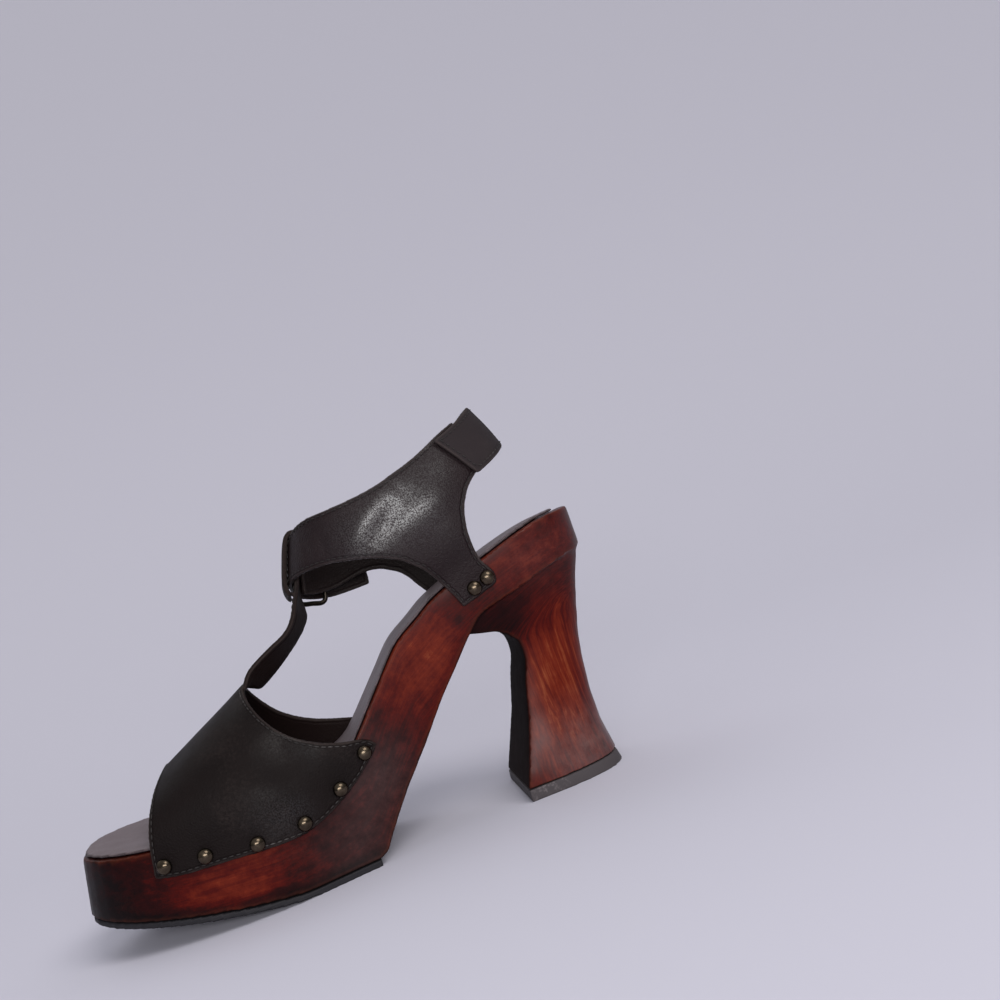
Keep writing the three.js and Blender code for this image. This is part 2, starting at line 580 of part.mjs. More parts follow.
// Vamp with its centre strap, which turns over the ankle strap and ends against itself
function vamp() {
  const half = CENTRE_STRAP_WIDTH / 2;
  const rearX = placeX(VAMP_REAR.crown);
  const rootRise = (side) => {
    const arch = vampArch(rearX, side);
    const angle = Math.acos((half / arch.half) ** (1 / arch.power));
    return arch.wallShare + ((1 - arch.wallShare) * angle) / (Math.PI / 2);
  };
  const columns = [];
  for (const side of [-1, 1]) {
    const root = rootRise(side);
    const climb = [];
    for (let i = 0; i <= VAMP_COLUMNS; i += 1) climb.push((root * i) / VAMP_COLUMNS);
    climb.push((root + 1) / 2);
    if (side < 0) {
      columns.push(...climb.map((rise) => ({ side, rise })), { side, rise: 1 });
    } else {
      columns.push(...climb.reverse().map((rise) => ({ side, rise })));
    }
  }
  const points = [];
  for (let r = 0; r <= VAMP_ROWS; r += 1) {
    columns.forEach(({ side, rise }) => points.push(vampPoint(r / VAMP_ROWS, side, rise)));
  }
  const quads = gridQuads(VAMP_ROWS + 1, columns.length);

  // The strap goes on from the five middle columns of the rear edge
  const across = [-1, -0.5, 0, 0.5, 1];
  const rootStart = VAMP_ROWS * columns.length + VAMP_COLUMNS;
  const strapRows = refineRows(CENTRE_STRAP, 2).map((row) => across.map((side) => {
    const inner = new THREE.Vector3(placeX(row.innerX), -half, row.innerZ * SEAT_HEIGHT);
    const outer = new THREE.Vector3(placeX(row.outerX), half, row.outerZ * SEAT_HEIGHT);
    return inner.lerp(outer, (side + 1) / 2);
  }));
  const lift = LEATHER + 2 * CLEARANCE;
  const edgeTurn = frontTurn(half);
  const turnOver = [];
  for (const rise of [-0.12, 0.15, 0.6]) turnOver.push({ rise, lift: -lift });
  for (let i = 0; i <= LOOP_STEPS; i += 1) {
    const angle = (Math.PI * i) / LOOP_STEPS;
    turnOver.push({ rise: 1, over: lift * Math.sin(angle), lift: -lift * Math.cos(angle) });
  }
  for (const rise of [0.6, 0.15, 0]) turnOver.push({ rise, lift });
  turnOver.push({ rise: -0.14, lift: 0.75 * lift }, { rise: -0.24, lift: 0.15 * lift });
  for (const { rise, over = 0, lift: out } of turnOver) {
    strapRows.push(across.map((side) => {
      const turn = -side * edgeTurn;
      const height = THREE.MathUtils.lerp(strapLow(turn), strapTop(turn), rise) + over / SEAT_HEIGHT;
      return anklePoint(-1, turn, height, out);
    }));
  }
  const first = points.length;
  strapRows.forEach((row) => points.push(...row));
  const number = (r, c) => (r === 0 ? rootStart + c : first + (r - 1) * across.length + c);
  quads.push(...gridQuads(strapRows.length + 1, across.length, number));
  return slab(points, quads, LEATHER);
}

// Patch on the ankle between two edges, given as rows of a lower and a top point
function anklePatch(side, rows, columns, lift) {
  return rows.flatMap((row) => Array.from({ length: columns + 1 }, (_, c) => {
    const turn = THREE.MathUtils.lerp(row.lowTurn, row.topTurn, c / columns);
    const height = THREE.MathUtils.lerp(row.lowHeight, row.topHeight, c / columns);
    return anklePoint(side, turn, height, lift(turn));
  }));
}

// Quarter: a band round the ankle with a leg that runs down to a tab on the wood
function quarter({ side, band, root, legShift }, lift) {
  const rows = refineRows(band, QUARTER_STEPS);
  const points = anklePatch(side, rows, QUARTER_COLUMNS, lift);
  const quads = gridQuads(rows.length, QUARTER_COLUMNS + 1);
  const rootFirst = root[0] * QUARTER_STEPS;
  const legColumns = (root[1] - root[0]) * QUARTER_STEPS + 1;
  const legRows = refineRows(LEG, 2);
  const first = points.length;
  for (const row of legRows) {
    for (let c = 0; c < legColumns; c += 1) {
      const share = c / (legColumns - 1);
      const turn = THREE.MathUtils.lerp(row.frontTurn, row.rearTurn, share) + legShift;
      points.push(anklePoint(side, turn, THREE.MathUtils.lerp(row.frontHeight, row.rearHeight, share)));
    }
  }
  const number = (r, c) => (r === 0 ? (rootFirst + c) * (QUARTER_COLUMNS + 1) : first + (r - 1) * legColumns + c);
  quads.push(...gridQuads(legRows.length + 1, legColumns, number));
  return slab(points, quads, LEATHER);
}

// Lift of the ankle strap past the front: onto the outer quarter, over the buckle's rear bar and
// down again
const hingeLift = LEATHER / 2 + CLEARANCE + BUCKLE_WIRE / 2;
const ankleStrapLift = (turn) => {
  const share = ({ from, to }) => THREE.MathUtils.smoothstep(-turn, from, to);
  const lap = LEATHER + 2 * CLEARANCE;
  const hop = hingeLift + BUCKLE_WIRE / 2 + CLEARANCE + LEATHER / 2 - lap;
  return lap * share(ONTO_QUARTER) + hop * (share(ONTO_HINGE) - share(OFF_HINGE));
};

// Heel band, which laps over the rear ends of both quarters
function heelBand() {
  const rows = refineRows(HEEL_BAND, 3);
  const lap = LEATHER + 2 * CLEARANCE;
  return slab(anklePatch(-1, rows, 3, () => lap), gridQuads(rows.length, 4), LEATHER);
}

// Axes at a point of the ankle: outward from it and along the strap
function ankleAxes(side, turn, height) {
  const reach = 1.5;
  const at = (degrees, share) => anklePoint(side, degrees, share);
  const along = at(turn + reach, height).sub(at(turn - reach, height)).normalize();
  const up = at(turn, height + reach / SEAT_HEIGHT).sub(at(turn, height - reach / SEAT_HEIGHT));
  const outward = along.clone().cross(up).normalize();
  if (outward.y * side < 0) outward.negate();
  return { outward, along };
}

// Heights of the ankle strap's edges and middle past the front
const strapLow = (turn) => readColumn(INNER_QUARTER.band, 'lowTurn', 'lowHeight', turn);
const strapTop = (turn) => readColumn(INNER_QUARTER.band, 'topTurn', 'topHeight', turn);
const strapMiddle = (turn) => (strapLow(turn) + strapTop(turn)) / 2;

// Inner quarter with the slot for the buckle's prong near its end
function innerQuarter() {
  const whole = toManifold(quarter(INNER_QUARTER, ankleStrapLift));
  const turn = -(PRONG_SLOT.from + PRONG_SLOT.to) / 2;
  const height = strapMiddle(turn);
  const end = (degrees) => anklePoint(-1, -degrees, strapMiddle(-degrees), ankleStrapLift(-degrees));
  const long = end(PRONG_SLOT.from).distanceTo(end(PRONG_SLOT.to));
  const wide = PRONG_WIRE + 2 * PRONG_PLAY;
  const { outward, along } = ankleAxes(-1, turn, height);
  const slot = new THREE.BoxGeometry(long, wide, 5 * LEATHER);
  slot.applyMatrix4(new THREE.Matrix4().makeBasis(along, outward.clone().cross(along), outward));
  slot.translate(...anklePoint(-1, turn, height, ankleStrapLift(turn)).toArray());
  return toGeometry(whole.subtract(toManifold(slot)));
}

// Buckle frame: a bent wire ring whose front bar lies on the strap and whose rear bar lies
// behind it, before the outer quarter's end
function buckleFrame() {
  const beyond = (CLEARANCE + BUCKLE_WIRE / 2) / SEAT_HEIGHT;
  const frontLift = ankleStrapLift(-BUCKLE.front) + hingeLift + CLEARANCE;
  const corner = 0.12; // rounding of the corners, as a share of each side
  const place = (turnShare, heightShare) => {
    const turn = -THREE.MathUtils.lerp(BUCKLE.hinge, BUCKLE.front, turnShare);
    const low = strapLow(turn) - beyond;
    const high = strapTop(turn) + beyond;
    const height = THREE.MathUtils.lerp(low, high, heightShare);
    const lift = THREE.MathUtils.lerp(hingeLift, frontLift, turnShare);
    return anklePoint(-1, turn, height, lift);
  };
  const path = [
    [corner, 0], [0.5, 0], [1 - corner, 0], [1, corner / 2], [1, 0.5], [1, 1 - corner / 2],
    [1 - corner, 1], [0.5, 1], [corner, 1], [0, 1 - corner / 2], [0, 0.5], [0, corner / 2],
  ];
  const curve = new THREE.CatmullRomCurve3(path.map(([t, h]) => place(t, h)), true);
  return new THREE.TubeGeometry(curve, 4 * ROUND_STEPS, BUCKLE_WIRE / 2, WIRE_SIDES, true);
}

// Buckle prong: from the rear bar out through the slot and forward over the front bar
function buckleProng() {
  const radius = PRONG_WIRE / 2;
  const start = hingeLift + BUCKLE_WIRE / 2 + CLEARANCE + radius;
  const over = (turn) => ankleStrapLift(-turn) + LEATHER / 2 + CLEARANCE + radius;
  const rest = ankleStrapLift(-BUCKLE.front) + hingeLift + 2 * CLEARANCE + BUCKLE_WIRE / 2 + radius;
  const halfway = (PRONG.out + BUCKLE.front) / 2;
  const path = [
    [PRONG.start, start],
    [PRONG.bend, start + CLEARANCE],
    [PRONG.out, over(PRONG.out)],
    [halfway, Math.max(rest, over(halfway))],
    [BUCKLE.front, rest],
    [PRONG.tip, rest - CLEARANCE],
  ];
  const points = path.map(([turn, lift]) => anklePoint(-1, -turn, strapMiddle(-turn), lift));
  const curve = new THREE.CatmullRomCurve3(points);
  const frames = curve.computeFrenetFrames(ROUND_STEPS, false);
  const rings = frames.tangents.map((_, i) => Array.from({ length: WIRE_SIDES }, (__, k) => {
    const angle = (2 * Math.PI * k) / WIRE_SIDES;
    return curve.getPointAt(i / ROUND_STEPS)
      .addScaledVector(frames.normals[i], radius * Math.cos(angle))
      .addScaledVector(frames.binormals[i], radius * Math.sin(angle));
  }));
  return loft(rings);
}

// Domed stud on a place, its axis pointing outward
function stud(place, outward) {
  const radius = STUD_DIAMETER / 2;
  const rim = 0.3; // straight edge under the dome
  const profile = [new THREE.Vector2(0, 0), new THREE.Vector2(radius, 0)];
  for (let i = 0; i <= DOME_STEPS; i += 1) {
    const angle = (Math.PI * i) / (2 * DOME_STEPS);
    const reach = i < DOME_STEPS ? radius * Math.cos(angle) : 0;
    profile.push(new THREE.Vector2(reach, rim + (STUD_HEIGHT - rim) * Math.sin(angle)));
  }
  const dome = new THREE.LatheGeometry(profile, ROUND_STEPS);
  const turn = new THREE.Quaternion().setFromUnitVectors(new THREE.Vector3(0, 1, 0), outward);
  dome.applyQuaternion(turn);
  dome.translate(...place.toArray());
  return dome;
}

// Stud through the vamp into the side of the wood
function vampStud(side, { at, height }) {
  const x = placeX(at);
  const slope = (soleHalfWidth(x + 1, side) - soleHalfWidth(x - 1, side)) / 2;
  const outward = new THREE.Vector3(-slope, side, 0).normalize();
  const foot = new THREE.Vector3(x, side * besideWood(x, side), height * SEAT_HEIGHT);
  return stud(foot.addScaledVector(outward, LEATHER / 2 + CLEARANCE), outward);
}

// Stud through a quarter's tab
function tabStud({ side, legShift }, { turn, height }) {
  const { outward } = ankleAxes(side, turn + legShift, height);
  const foot = anklePoint(side, turn + legShift, height);
  return stud(foot.addScaledVector(outward, LEATHER / 2 + CLEARANCE), outward);
}

// Assembly
const sandal = new THREE.Group();
function place(name, geometry, material) {
  const mesh = new THREE.Mesh(geometry, material);
  mesh.name = name;
  sandal.add(mesh);
}
place('wooden_sole', woodenSole(), wood);
place('forefoot_outsole', forefootOutsole(), rubber);
place('heel_lift', heelLift(), rubber);
place('insole_sock', insoleSock(), sockLeather);
place('vamp', vamp(), leather);
place('inner_quarter', innerQuarter(), leather);
place('outer_quarter', quarter(OUTER_QUARTER, () => 0), leather);
place('heel_band', heelBand(), bandLeather);
place('buckle_frame', buckleFrame(), brass);
place('buckle_prong', buckleProng(), brass);
for (const { name, owner } of [
  { name: 'inner', owner: INNER_QUARTER },
  { name: 'outer', owner: OUTER_QUARTER },
]) {
  VAMP_STUDS.forEach((row, i) => place(`${name}_vamp_stud_${i + 1}`, vampStud(owner.side, row), brass));
  TAB_STUDS.forEach((row, i) => place(`${name}_tab_stud_${i + 1}`, tabStud(owner, row), brass));
}

export default sandal;
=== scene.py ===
import bpy
import bmesh
import math
import numpy as np
from mathutils import Matrix, Vector, kdtree
from mathutils.bvhtree import BVHTree


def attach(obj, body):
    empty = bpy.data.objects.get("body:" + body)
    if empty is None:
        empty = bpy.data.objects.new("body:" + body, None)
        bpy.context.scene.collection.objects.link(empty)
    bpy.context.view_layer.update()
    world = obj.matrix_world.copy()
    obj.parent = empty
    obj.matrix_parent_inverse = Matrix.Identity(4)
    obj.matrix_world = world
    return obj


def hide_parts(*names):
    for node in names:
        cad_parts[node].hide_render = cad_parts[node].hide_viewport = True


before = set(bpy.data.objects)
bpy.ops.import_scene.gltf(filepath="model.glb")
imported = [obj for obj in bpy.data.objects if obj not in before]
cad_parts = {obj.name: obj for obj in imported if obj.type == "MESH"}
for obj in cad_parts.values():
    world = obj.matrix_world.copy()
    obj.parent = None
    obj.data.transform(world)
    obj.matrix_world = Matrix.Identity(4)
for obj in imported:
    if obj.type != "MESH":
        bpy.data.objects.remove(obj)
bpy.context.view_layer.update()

# Camera, floor and light. The camera looks at the inner side of the shoe, rolled as in the
# photograph. The pale floor rises behind the shoe into a plain slope. Soft light comes from above,
# a weak one from behind, and a long low lamp puts the gloss on the ankle's leather.
CAMERA_PLACE = Vector((0.0049, -0.5587, 0.1308))
CAMERA_TURN = math.radians(9.18)
CAMERA_FALL = math.radians(0.93)
CAMERA_ROLL = math.radians(-19.52)
LENS = 46.8  # mm, on a sensor 36 mm wide
FLOOR_SIDE = 8.0
FLOOR_FRONT = -3.0
FLOOR_BACK = 9.0
SWEEP_START = 0.25
SWEEP_RADIUS = 2.5
SWEEP_ANGLE = math.radians(38)
SWEEP_STEPS = 12
LIT_PLACE = Vector((0.05, 0.0, 0.11))


def link(name, mesh):
    piece = bpy.data.objects.new(name, mesh)
    bpy.context.scene.collection.objects.link(piece)
    return piece


def add(tree, kind, inputs=None, **settings):
    """New node: a socket given as an input is linked, anything else is its value."""
    node = tree.nodes.new(kind)
    for name, value in settings.items():
        setattr(node, name, value)
    for name, value in (inputs or {}).items():
        if isinstance(value, bpy.types.NodeSocket):
            tree.links.new(value, node.inputs[name])
        else:
            node.inputs[name].default_value = value
    return node


def new_material(name):
    material = bpy.data.materials.new(name)
    material.use_nodes = True
    material.node_tree.nodes.clear()
    return material, material.node_tree


def finish_surface(tree, inputs):
    surface = add(tree, "ShaderNodeBsdfPrincipled", inputs)
    add(tree, "ShaderNodeOutputMaterial", {"Surface": surface.outputs["BSDF"]})


forward = Vector((
    math.sin(CAMERA_TURN) * math.cos(CAMERA_FALL),
    math.cos(CAMERA_TURN) * math.cos(CAMERA_FALL),
    -math.sin(CAMERA_FALL),
))
level = forward.cross(Vector((0, 0, 1))).normalized()
upward = level.cross(forward)
rolled_right = level * math.cos(CAMERA_ROLL) + upward * math.sin(CAMERA_ROLL)
rolled_up = upward * math.cos(CAMERA_ROLL) - level * math.sin(CAMERA_ROLL)
camera_data = bpy.data.cameras.new("camera")
camera_data.sensor_width = 36
camera_data.lens = LENS
camera_data.clip_start = 0.01
camera = link("camera", camera_data)
axes = Matrix((rolled_right, rolled_up, -forward)).transposed()
camera.matrix_world = Matrix.Translation(CAMERA_PLACE) @ axes.to_4x4()
bpy.context.scene.camera = camera

floor_rows = [(FLOOR_FRONT, 0.0)]
for step in range(SWEEP_STEPS + 1):
    angle = SWEEP_ANGLE * step / SWEEP_STEPS
    floor_rows.append((SWEEP_START + SWEEP_RADIUS * math.sin(angle),
                       SWEEP_RADIUS * (1 - math.cos(angle))))
sweep_end, sweep_top = floor_rows[-1]
floor_rows.append((FLOOR_BACK, sweep_top + (FLOOR_BACK - sweep_end) * math.tan(SWEEP_ANGLE)))
floor_points = [(side * FLOOR_SIDE, y, z) for y, z in floor_rows for side in (-1, 1)]
floor_faces = [(2 * i, 2 * i + 1, 2 * i + 3, 2 * i + 2) for i in range(len(floor_rows) - 1)]
floor_mesh = bpy.data.meshes.new("floor")
floor_mesh.from_pydata(floor_points, [], floor_faces)
floor_mesh.shade_smooth()
floor = link("floor", floor_mesh)
floor_material, tree = new_material("pale floor")
finish_surface(tree, {"Base Color": (0.565, 0.551, 0.631, 1), "Roughness": 0.9,
                      "Specular IOR Level": 0.2})
floor.data.materials.append(floor_material)

# The room is brighter overhead than at the sides
world = bpy.data.worlds.new("room")
world.use_nodes = True
tree = world.node_tree
toward = add(tree, "ShaderNodeTexCoord").outputs["Generated"]
height = add(tree, "ShaderNodeSeparateXYZ", {"Vector": toward}).outputs["Z"]
room_light = add(tree, "ShaderNodeMapRange", {
    "Value": height, "From Min": 0.05, "From Max": 0.75, "To Min": 0.16, "To Max": 0.52})
tree.links.new(room_light.outputs["Result"], tree.nodes["Background"].inputs["Strength"])
tree.nodes["Background"].inputs["Color"].default_value = (0.93, 0.95, 1.0, 1)
bpy.context.scene.world = world
bpy.context.scene.view_settings.view_transform = "Standard"


def aim_light(light, name, place):
    lamp = link(name, light)
    turn = (LIT_PLACE - Vector(place)).to_track_quat("-Z", "Y")
    lamp.matrix_world = Matrix.Translation(place) @ turn.to_matrix().to_4x4()


window = bpy.data.lights.new("window light", "SUN")
window.energy = 1.25
window.angle = math.radians(30)
window.color = (1.0, 0.975, 0.95)
aim_light(window, "window light", (1.1, -1.5, 2.0))
back_light = bpy.data.lights.new("back light", "SUN")
back_light.energy = 0.3
back_light.angle = math.radians(40)
aim_light(back_light, "back light", (-0.5, 1.1, 1.6))
side_lamp = bpy.data.lights.new("side lamp", "AREA")
side_lamp.shape = "RECTANGLE"
side_lamp.size = 0.85
side_lamp.size_y = 0.2
side_lamp.energy = 10.5
aim_light(side_lamp, "side lamp", (-0.02, -1.3, 0.37))


# Wooden sole: one block of light hardwood, sawn and sanded into platform, shank and flared heel,
# stained red-brown by hand and varnished. The stain lies darkest at the toe and along the lower
# rims, and the heel's long grain shows as streaks. Painted shade darkens the hollow under the
# seat's band, the heel's front and the faces that look down, and a greyish haze where the varnish
# shines is partly dust and partly painted sheen.
WOOD_VOXEL = 0.0009
SANDING_ROUNDS = 5
SHADING_ROUNDS = 30
RIM_ROUNDS = 14
RIM_DARK = 0.28  # how much darker the stain lies on the platform's lower rim
# Places and heights of the wood's top and of the tread's underside, from toe to heel
FOOTBED_LINE = ((-0.12, -0.04, -0.02, 0.0, 0.03, 0.05, 0.075, 0.1, 0.12),
                (0.043, 0.0366, 0.039, 0.047, 0.0797, 0.0917, 0.1006, 0.108, 0.110))
TREAD_LINE = ((-0.121, -0.0845, -0.048, -0.03), (0.0197, 0.0115, 0.0052, 0.003))
STAIN_AND_SHADE_PATCHES = (
    # x, z, radius, amount
    (-0.112, 0.028, 0.022, -0.3),
    (-0.070, 0.018, 0.016, 0.16),
    (-0.048, 0.015, 0.02, 0.24),
    (-0.015, 0.018, 0.02, -0.12),
    (0.006, 0.04, 0.018, -0.1),
    (0.028, 0.066, 0.016, 0.2),
    (0.045, 0.076, 0.014, 0.26),
    (0.068, 0.088, 0.012, 0.08),
    # painted shade: the hollow under the seat's band is darkened
    (0.075, 0.072, 0.013, -0.3),
    (0.1, 0.1, 0.012, 0.06),
    (0.092, 0.052, 0.018, 0.3),
    (0.084, 0.024, 0.016, 0.2),
    (0.085, 0.096, 0.014, 0.14),
    (0.112, 0.1, 0.012, 0.08),
    (-0.04, 0.007, 0.012, -0.14),
)
# Patches of glossier varnish; they also carry a greyish haze, partly dust and partly painted sheen.
VARNISH_AND_SHEEN_PATCHES = (
    # x, z, radius, amount
    (0.098, 0.012, 0.014, 0.9),
    (0.082, 0.008, 0.012, 0.6),
    (0.090, 0.022, 0.012, 0.25),
    (-0.01, 0.012, 0.018, 0.3),
    (0.006, 0.036, 0.016, 0.35),
    (0.098, 0.1, 0.016, 0.25),
)
# Heights on the heel, and where its flat front stands at each
BREAST_LINE = ((0.005, 0.019, 0.0317, 0.0459, 0.055, 0.0598, 0.0641, 0.0679, 0.0707),
               (0.0611, 0.067, 0.0719, 0.076, 0.0794, 0.0799, 0.0791, 0.0757, 0.0719))


def baked(source, name):
    """Plain piece made from an object's finished form; the source is removed."""
    evaluated = source.evaluated_get(bpy.context.evaluated_depsgraph_get())
    mesh = bpy.data.meshes.new_from_object(evaluated)
    mesh.name = name
    bpy.data.objects.remove(source)
    mesh.shade_smooth()
    return link(name, mesh)


def vertex_places(mesh):
    places = np.empty(len(mesh.vertices) * 3)
    mesh.vertices.foreach_get("co", places)
    return places.reshape(-1, 3)


def vertex_normals(mesh):
    normals = np.empty(len(mesh.vertices) * 3)
    mesh.vertex_normals.foreach_get("vector", normals)
    return normals.reshape(-1, 3)


def store(mesh, name, values, kind="FLOAT"):
    attribute = mesh.attributes.new(name, kind, "POINT")
    field = "vector" if kind == "FLOAT_VECTOR" else "value"
    attribute.data.foreach_set(field, np.asarray(values, dtype=np.float32).ravel())


def smoothstep(low, high, value):
    t = np.clip((value - low) / (high - low), 0, 1)
    return t * t * (3 - 2 * t)


def neighbour_sum(edges, values, weights):
    """Sum of the neighbours' values at each vertex, each edge with its weight."""
    total = np.empty_like(values)
    for k in range(values.shape[1]):
        total[:, k] = np.bincount(edges[:, 0], weights * values[edges[:, 1], k], len(values))
        total[:, k] += np.bincount(edges[:, 1], weights * values[edges[:, 0], k], len(values))
    return total


def relaxed(edges, values, rounds):
    """Places or values drawn towards their neighbours', as sanding does."""
    ones = np.ones(len(edges))
    degree = neighbour_sum(edges, np.ones((len(values), 1)), ones)
    for _ in range(rounds):
        values = (values + neighbour_sum(edges, values, ones) / degree) / 2
    return values


def merged_shape(node):
    """Editable copy of a CAD node with its loose triangles joined."""
    shape = bmesh.new()
    shape.from_mesh(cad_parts[node].data)
    bmesh.ops.remove_doubles(shape, verts=shape.verts, dist=2e-6)
    return shape


def softened_copy(node, name, voxel, rounds, rounded=0):
    """Evenly meshed copy of a CAD node with its facets and edges softened. rounded: levels of
    subdivision that take out the facets of a leather slab."""
    mesh = bpy.data.meshes.new(name)
    shape = merged_shape(node)
    if rounded:
        bmesh.ops.join_triangles(shape, faces=shape.faces, angle_face_threshold=math.radians(40),
                                 angle_shape_threshold=math.radians(60))
        creases = shape.edges.layers.float.new("crease_edge")
        for edge in shape.edges:
            if edge.calc_face_angle(0) > math.radians(48):
                edge[creases] = 0.9
    shape.to_mesh(mesh)
    shape.free()
    rough = link(name + "_rough", mesh)
    if rounded:
        facets = rough.modifiers.new("facets", "SUBSURF")
        facets.levels = facets.render_levels = rounded
    even = rough.modifiers.new("even", "REMESH")
    even.mode = "VOXEL"
    even.voxel_size = voxel
    piece = baked(rough, name)
    mesh = piece.data
    edges = np.empty(len(mesh.edges) * 2, dtype=np.int32)
    mesh.edges.foreach_get("vertices", edges)
    edges = edges.reshape(-1, 2)
    mesh.vertices.foreach_set("co", relaxed(edges, vertex_places(mesh), rounds).ravel())
    mesh.update()
    return piece, edges


def smooth_shading(mesh, edges, rounds):
    """Normals evened out over the flat facets of the solid, but not over its edges."""
    normals = vertex_normals(mesh)
    for _ in range(rounds):
        facing = np.sum(normals[edges[:, 0]] * normals[edges[:, 1]], axis=1)
        normals = normals + neighbour_sum(edges, normals, np.exp((facing - 1) / 0.03))
        normals /= np.linalg.norm(normals, axis=1)[:, None]
    mesh.normals_split_custom_set_from_vertices(normals)


def speckle_group():
    """Scuffs and dust shared by wood, rubber and leather: a mask of small broken marks."""
    group = bpy.data.node_groups.new("scuffs", "ShaderNodeTree")
    group.interface.new_socket("Place", in_out="INPUT", socket_type="NodeSocketVector")
    group.interface.new_socket("Size", in_out="INPUT", socket_type="NodeSocketFloat")
    group.interface.new_socket("Amount", in_out="INPUT", socket_type="NodeSocketFloat")
    group.interface.new_socket("Mask", in_out="OUTPUT", socket_type="NodeSocketFloat")
    start = add(group, "NodeGroupInput")
    fine = add(group, "ShaderNodeTexNoise", {
        "Vector": start.outputs["Place"], "Scale": start.outputs["Size"], "Detail": 6.0,
        "Roughness": 0.75})
    broad = add(group, "ShaderNodeTexNoise", {"Vector": start.outputs["Place"], "Scale": 38.0,
                                              "Detail": 2.0})
    both = add(group, "ShaderNodeMath", {0: fine.outputs["Fac"], 1: broad.outputs["Fac"]},
               operation="MULTIPLY")
    level_out = add(group, "ShaderNodeMapRange", {
        "Value": both.outputs[0], "From Min": 0.3, "From Max": 0.42, "To Max": 1.0})
    amount = add(group, "ShaderNodeMath", {0: level_out.outputs["Result"],
                                           1: start.outputs["Amount"]}, operation="MULTIPLY")
    add(group, "NodeGroupOutput", {"Mask": amount.outputs[0]})
    return group


scuffs = speckle_group()


def mix_colors(tree, factor, first, second):
    mix = add(tree, "ShaderNodeMix", {0: factor, 6: first, 7: second}, data_type="RGBA")
    return mix.outputs[2]


wood, edges = softened_copy("wooden_sole", "wooden_sole_piece", WOOD_VOXEL, SANDING_ROUNDS)
smooth_shading(wood.data, edges, SHADING_ROUNDS)
places = vertex_places(wood.data)
below_top = np.interp(places[:, 0], *FOOTBED_LINE) - places[:, 2]
heel_share = smoothstep(0.012, 0.04, below_top) * smoothstep(0.045, 0.07, places[:, 0])
along = (1 - heel_share) * places[:, 0] * 1.3 + heel_share * places[:, 2]
across = (1 - heel_share) * below_top + heel_share * places[:, 0]
store(wood.data, "grain", np.stack([across, places[:, 1], along], 1), "FLOAT_VECTOR")


def patches_over(patches):
    """Sum of soft round patches, given by their place seen from the side, radius and amount."""
    total = np.zeros(len(places))
    for patch_x, patch_z, radius, amount in patches:
        reach = ((places[:, 0] - patch_x) ** 2 + (places[:, 2] - patch_z) ** 2) / radius**2
        total += amount * np.exp(-reach)
    return total


# The stain value also carries painted shade, from the dark patch in the hollow under the seat's
# band.
stain_and_shade = 0.4 + 0.1 * heel_share + patches_over(STAIN_AND_SHADE_PATCHES)
low_rim = 1 - smoothstep(0.0005, 0.0065, places[:, 2] - np.interp(places[:, 0], *TREAD_LINE))
stain_and_shade -= RIM_DARK * low_rim * (places[:, 0] < 0.0)
store(wood.data, "stain_and_shade", stain_and_shade)
store(wood.data, "varnish", patches_over(VARNISH_AND_SHEEN_PATCHES))
# Painted shade: the heel's front and the faces that look down are marked to be coloured nearly
# black; the same mark makes them rougher and takes off the varnish.
behind_breast = places[:, 0] - np.interp(places[:, 2], *BREAST_LINE)
breast = 1 - smoothstep(0.0004, 0.0014, behind_breast)
breast *= (behind_breast > -0.003) & (places[:, 2] < 0.0715)
below = smoothstep(0.35, 0.7, -vertex_normals(wood.data)[:, 2]) * (places[:, 0] < 0.07)
store(wood.data, "bare_and_shaded", relaxed(edges, np.maximum(breast, below)[:, None], 3))
store(wood.data, "heel", heel_share)
bulge = np.sum((places - relaxed(edges, places, RIM_ROUNDS)) * vertex_normals(wood.data), axis=1)
store(wood.data, "rim", np.clip((bulge - 0.00018) / 0.0006, 0, 1))

wood_material, tree = new_material("stained wood")
spot = add(tree, "ShaderNodeTexCoord").outputs["Object"]
grain = add(tree, "ShaderNodeAttribute", attribute_name="grain").outputs["Vector"]
stain_and_shade_value = add(tree, "ShaderNodeAttribute", attribute_name="stain_and_shade").outputs["Fac"]
on_heel = add(tree, "ShaderNodeAttribute", attribute_name="heel").outputs["Fac"]
on_rim = add(tree, "ShaderNodeAttribute", attribute_name="rim").outputs["Fac"]
on_varnish_and_sheen = add(tree, "ShaderNodeAttribute", attribute_name="varnish").outputs["Fac"]
on_bare_and_shaded = add(tree, "ShaderNodeAttribute", attribute_name="bare_and_shaded").outputs["Fac"]


def along_grain(across_scale, along_scale, detail, distortion):
    stretched = add(tree, "ShaderNodeMapping", {
        "Vector": grain, "Scale": (across_scale, across_scale, along_scale)})
    return add(tree, "ShaderNodeTexNoise", {
        "Vector": stretched.outputs[0], "Scale": 1.0, "Detail": detail, "Distortion": distortion})


def weighed(value, texture, weight):
    """Value moved up and down by a texture round its middle."""
    centred = add(tree, "ShaderNodeMath", {0: texture.outputs["Fac"], 1: -0.5})
    return add(tree, "ShaderNodeMath", {0: centred.outputs[0], 1: weight, 2: value},
               operation="MULTIPLY_ADD").outputs[0]


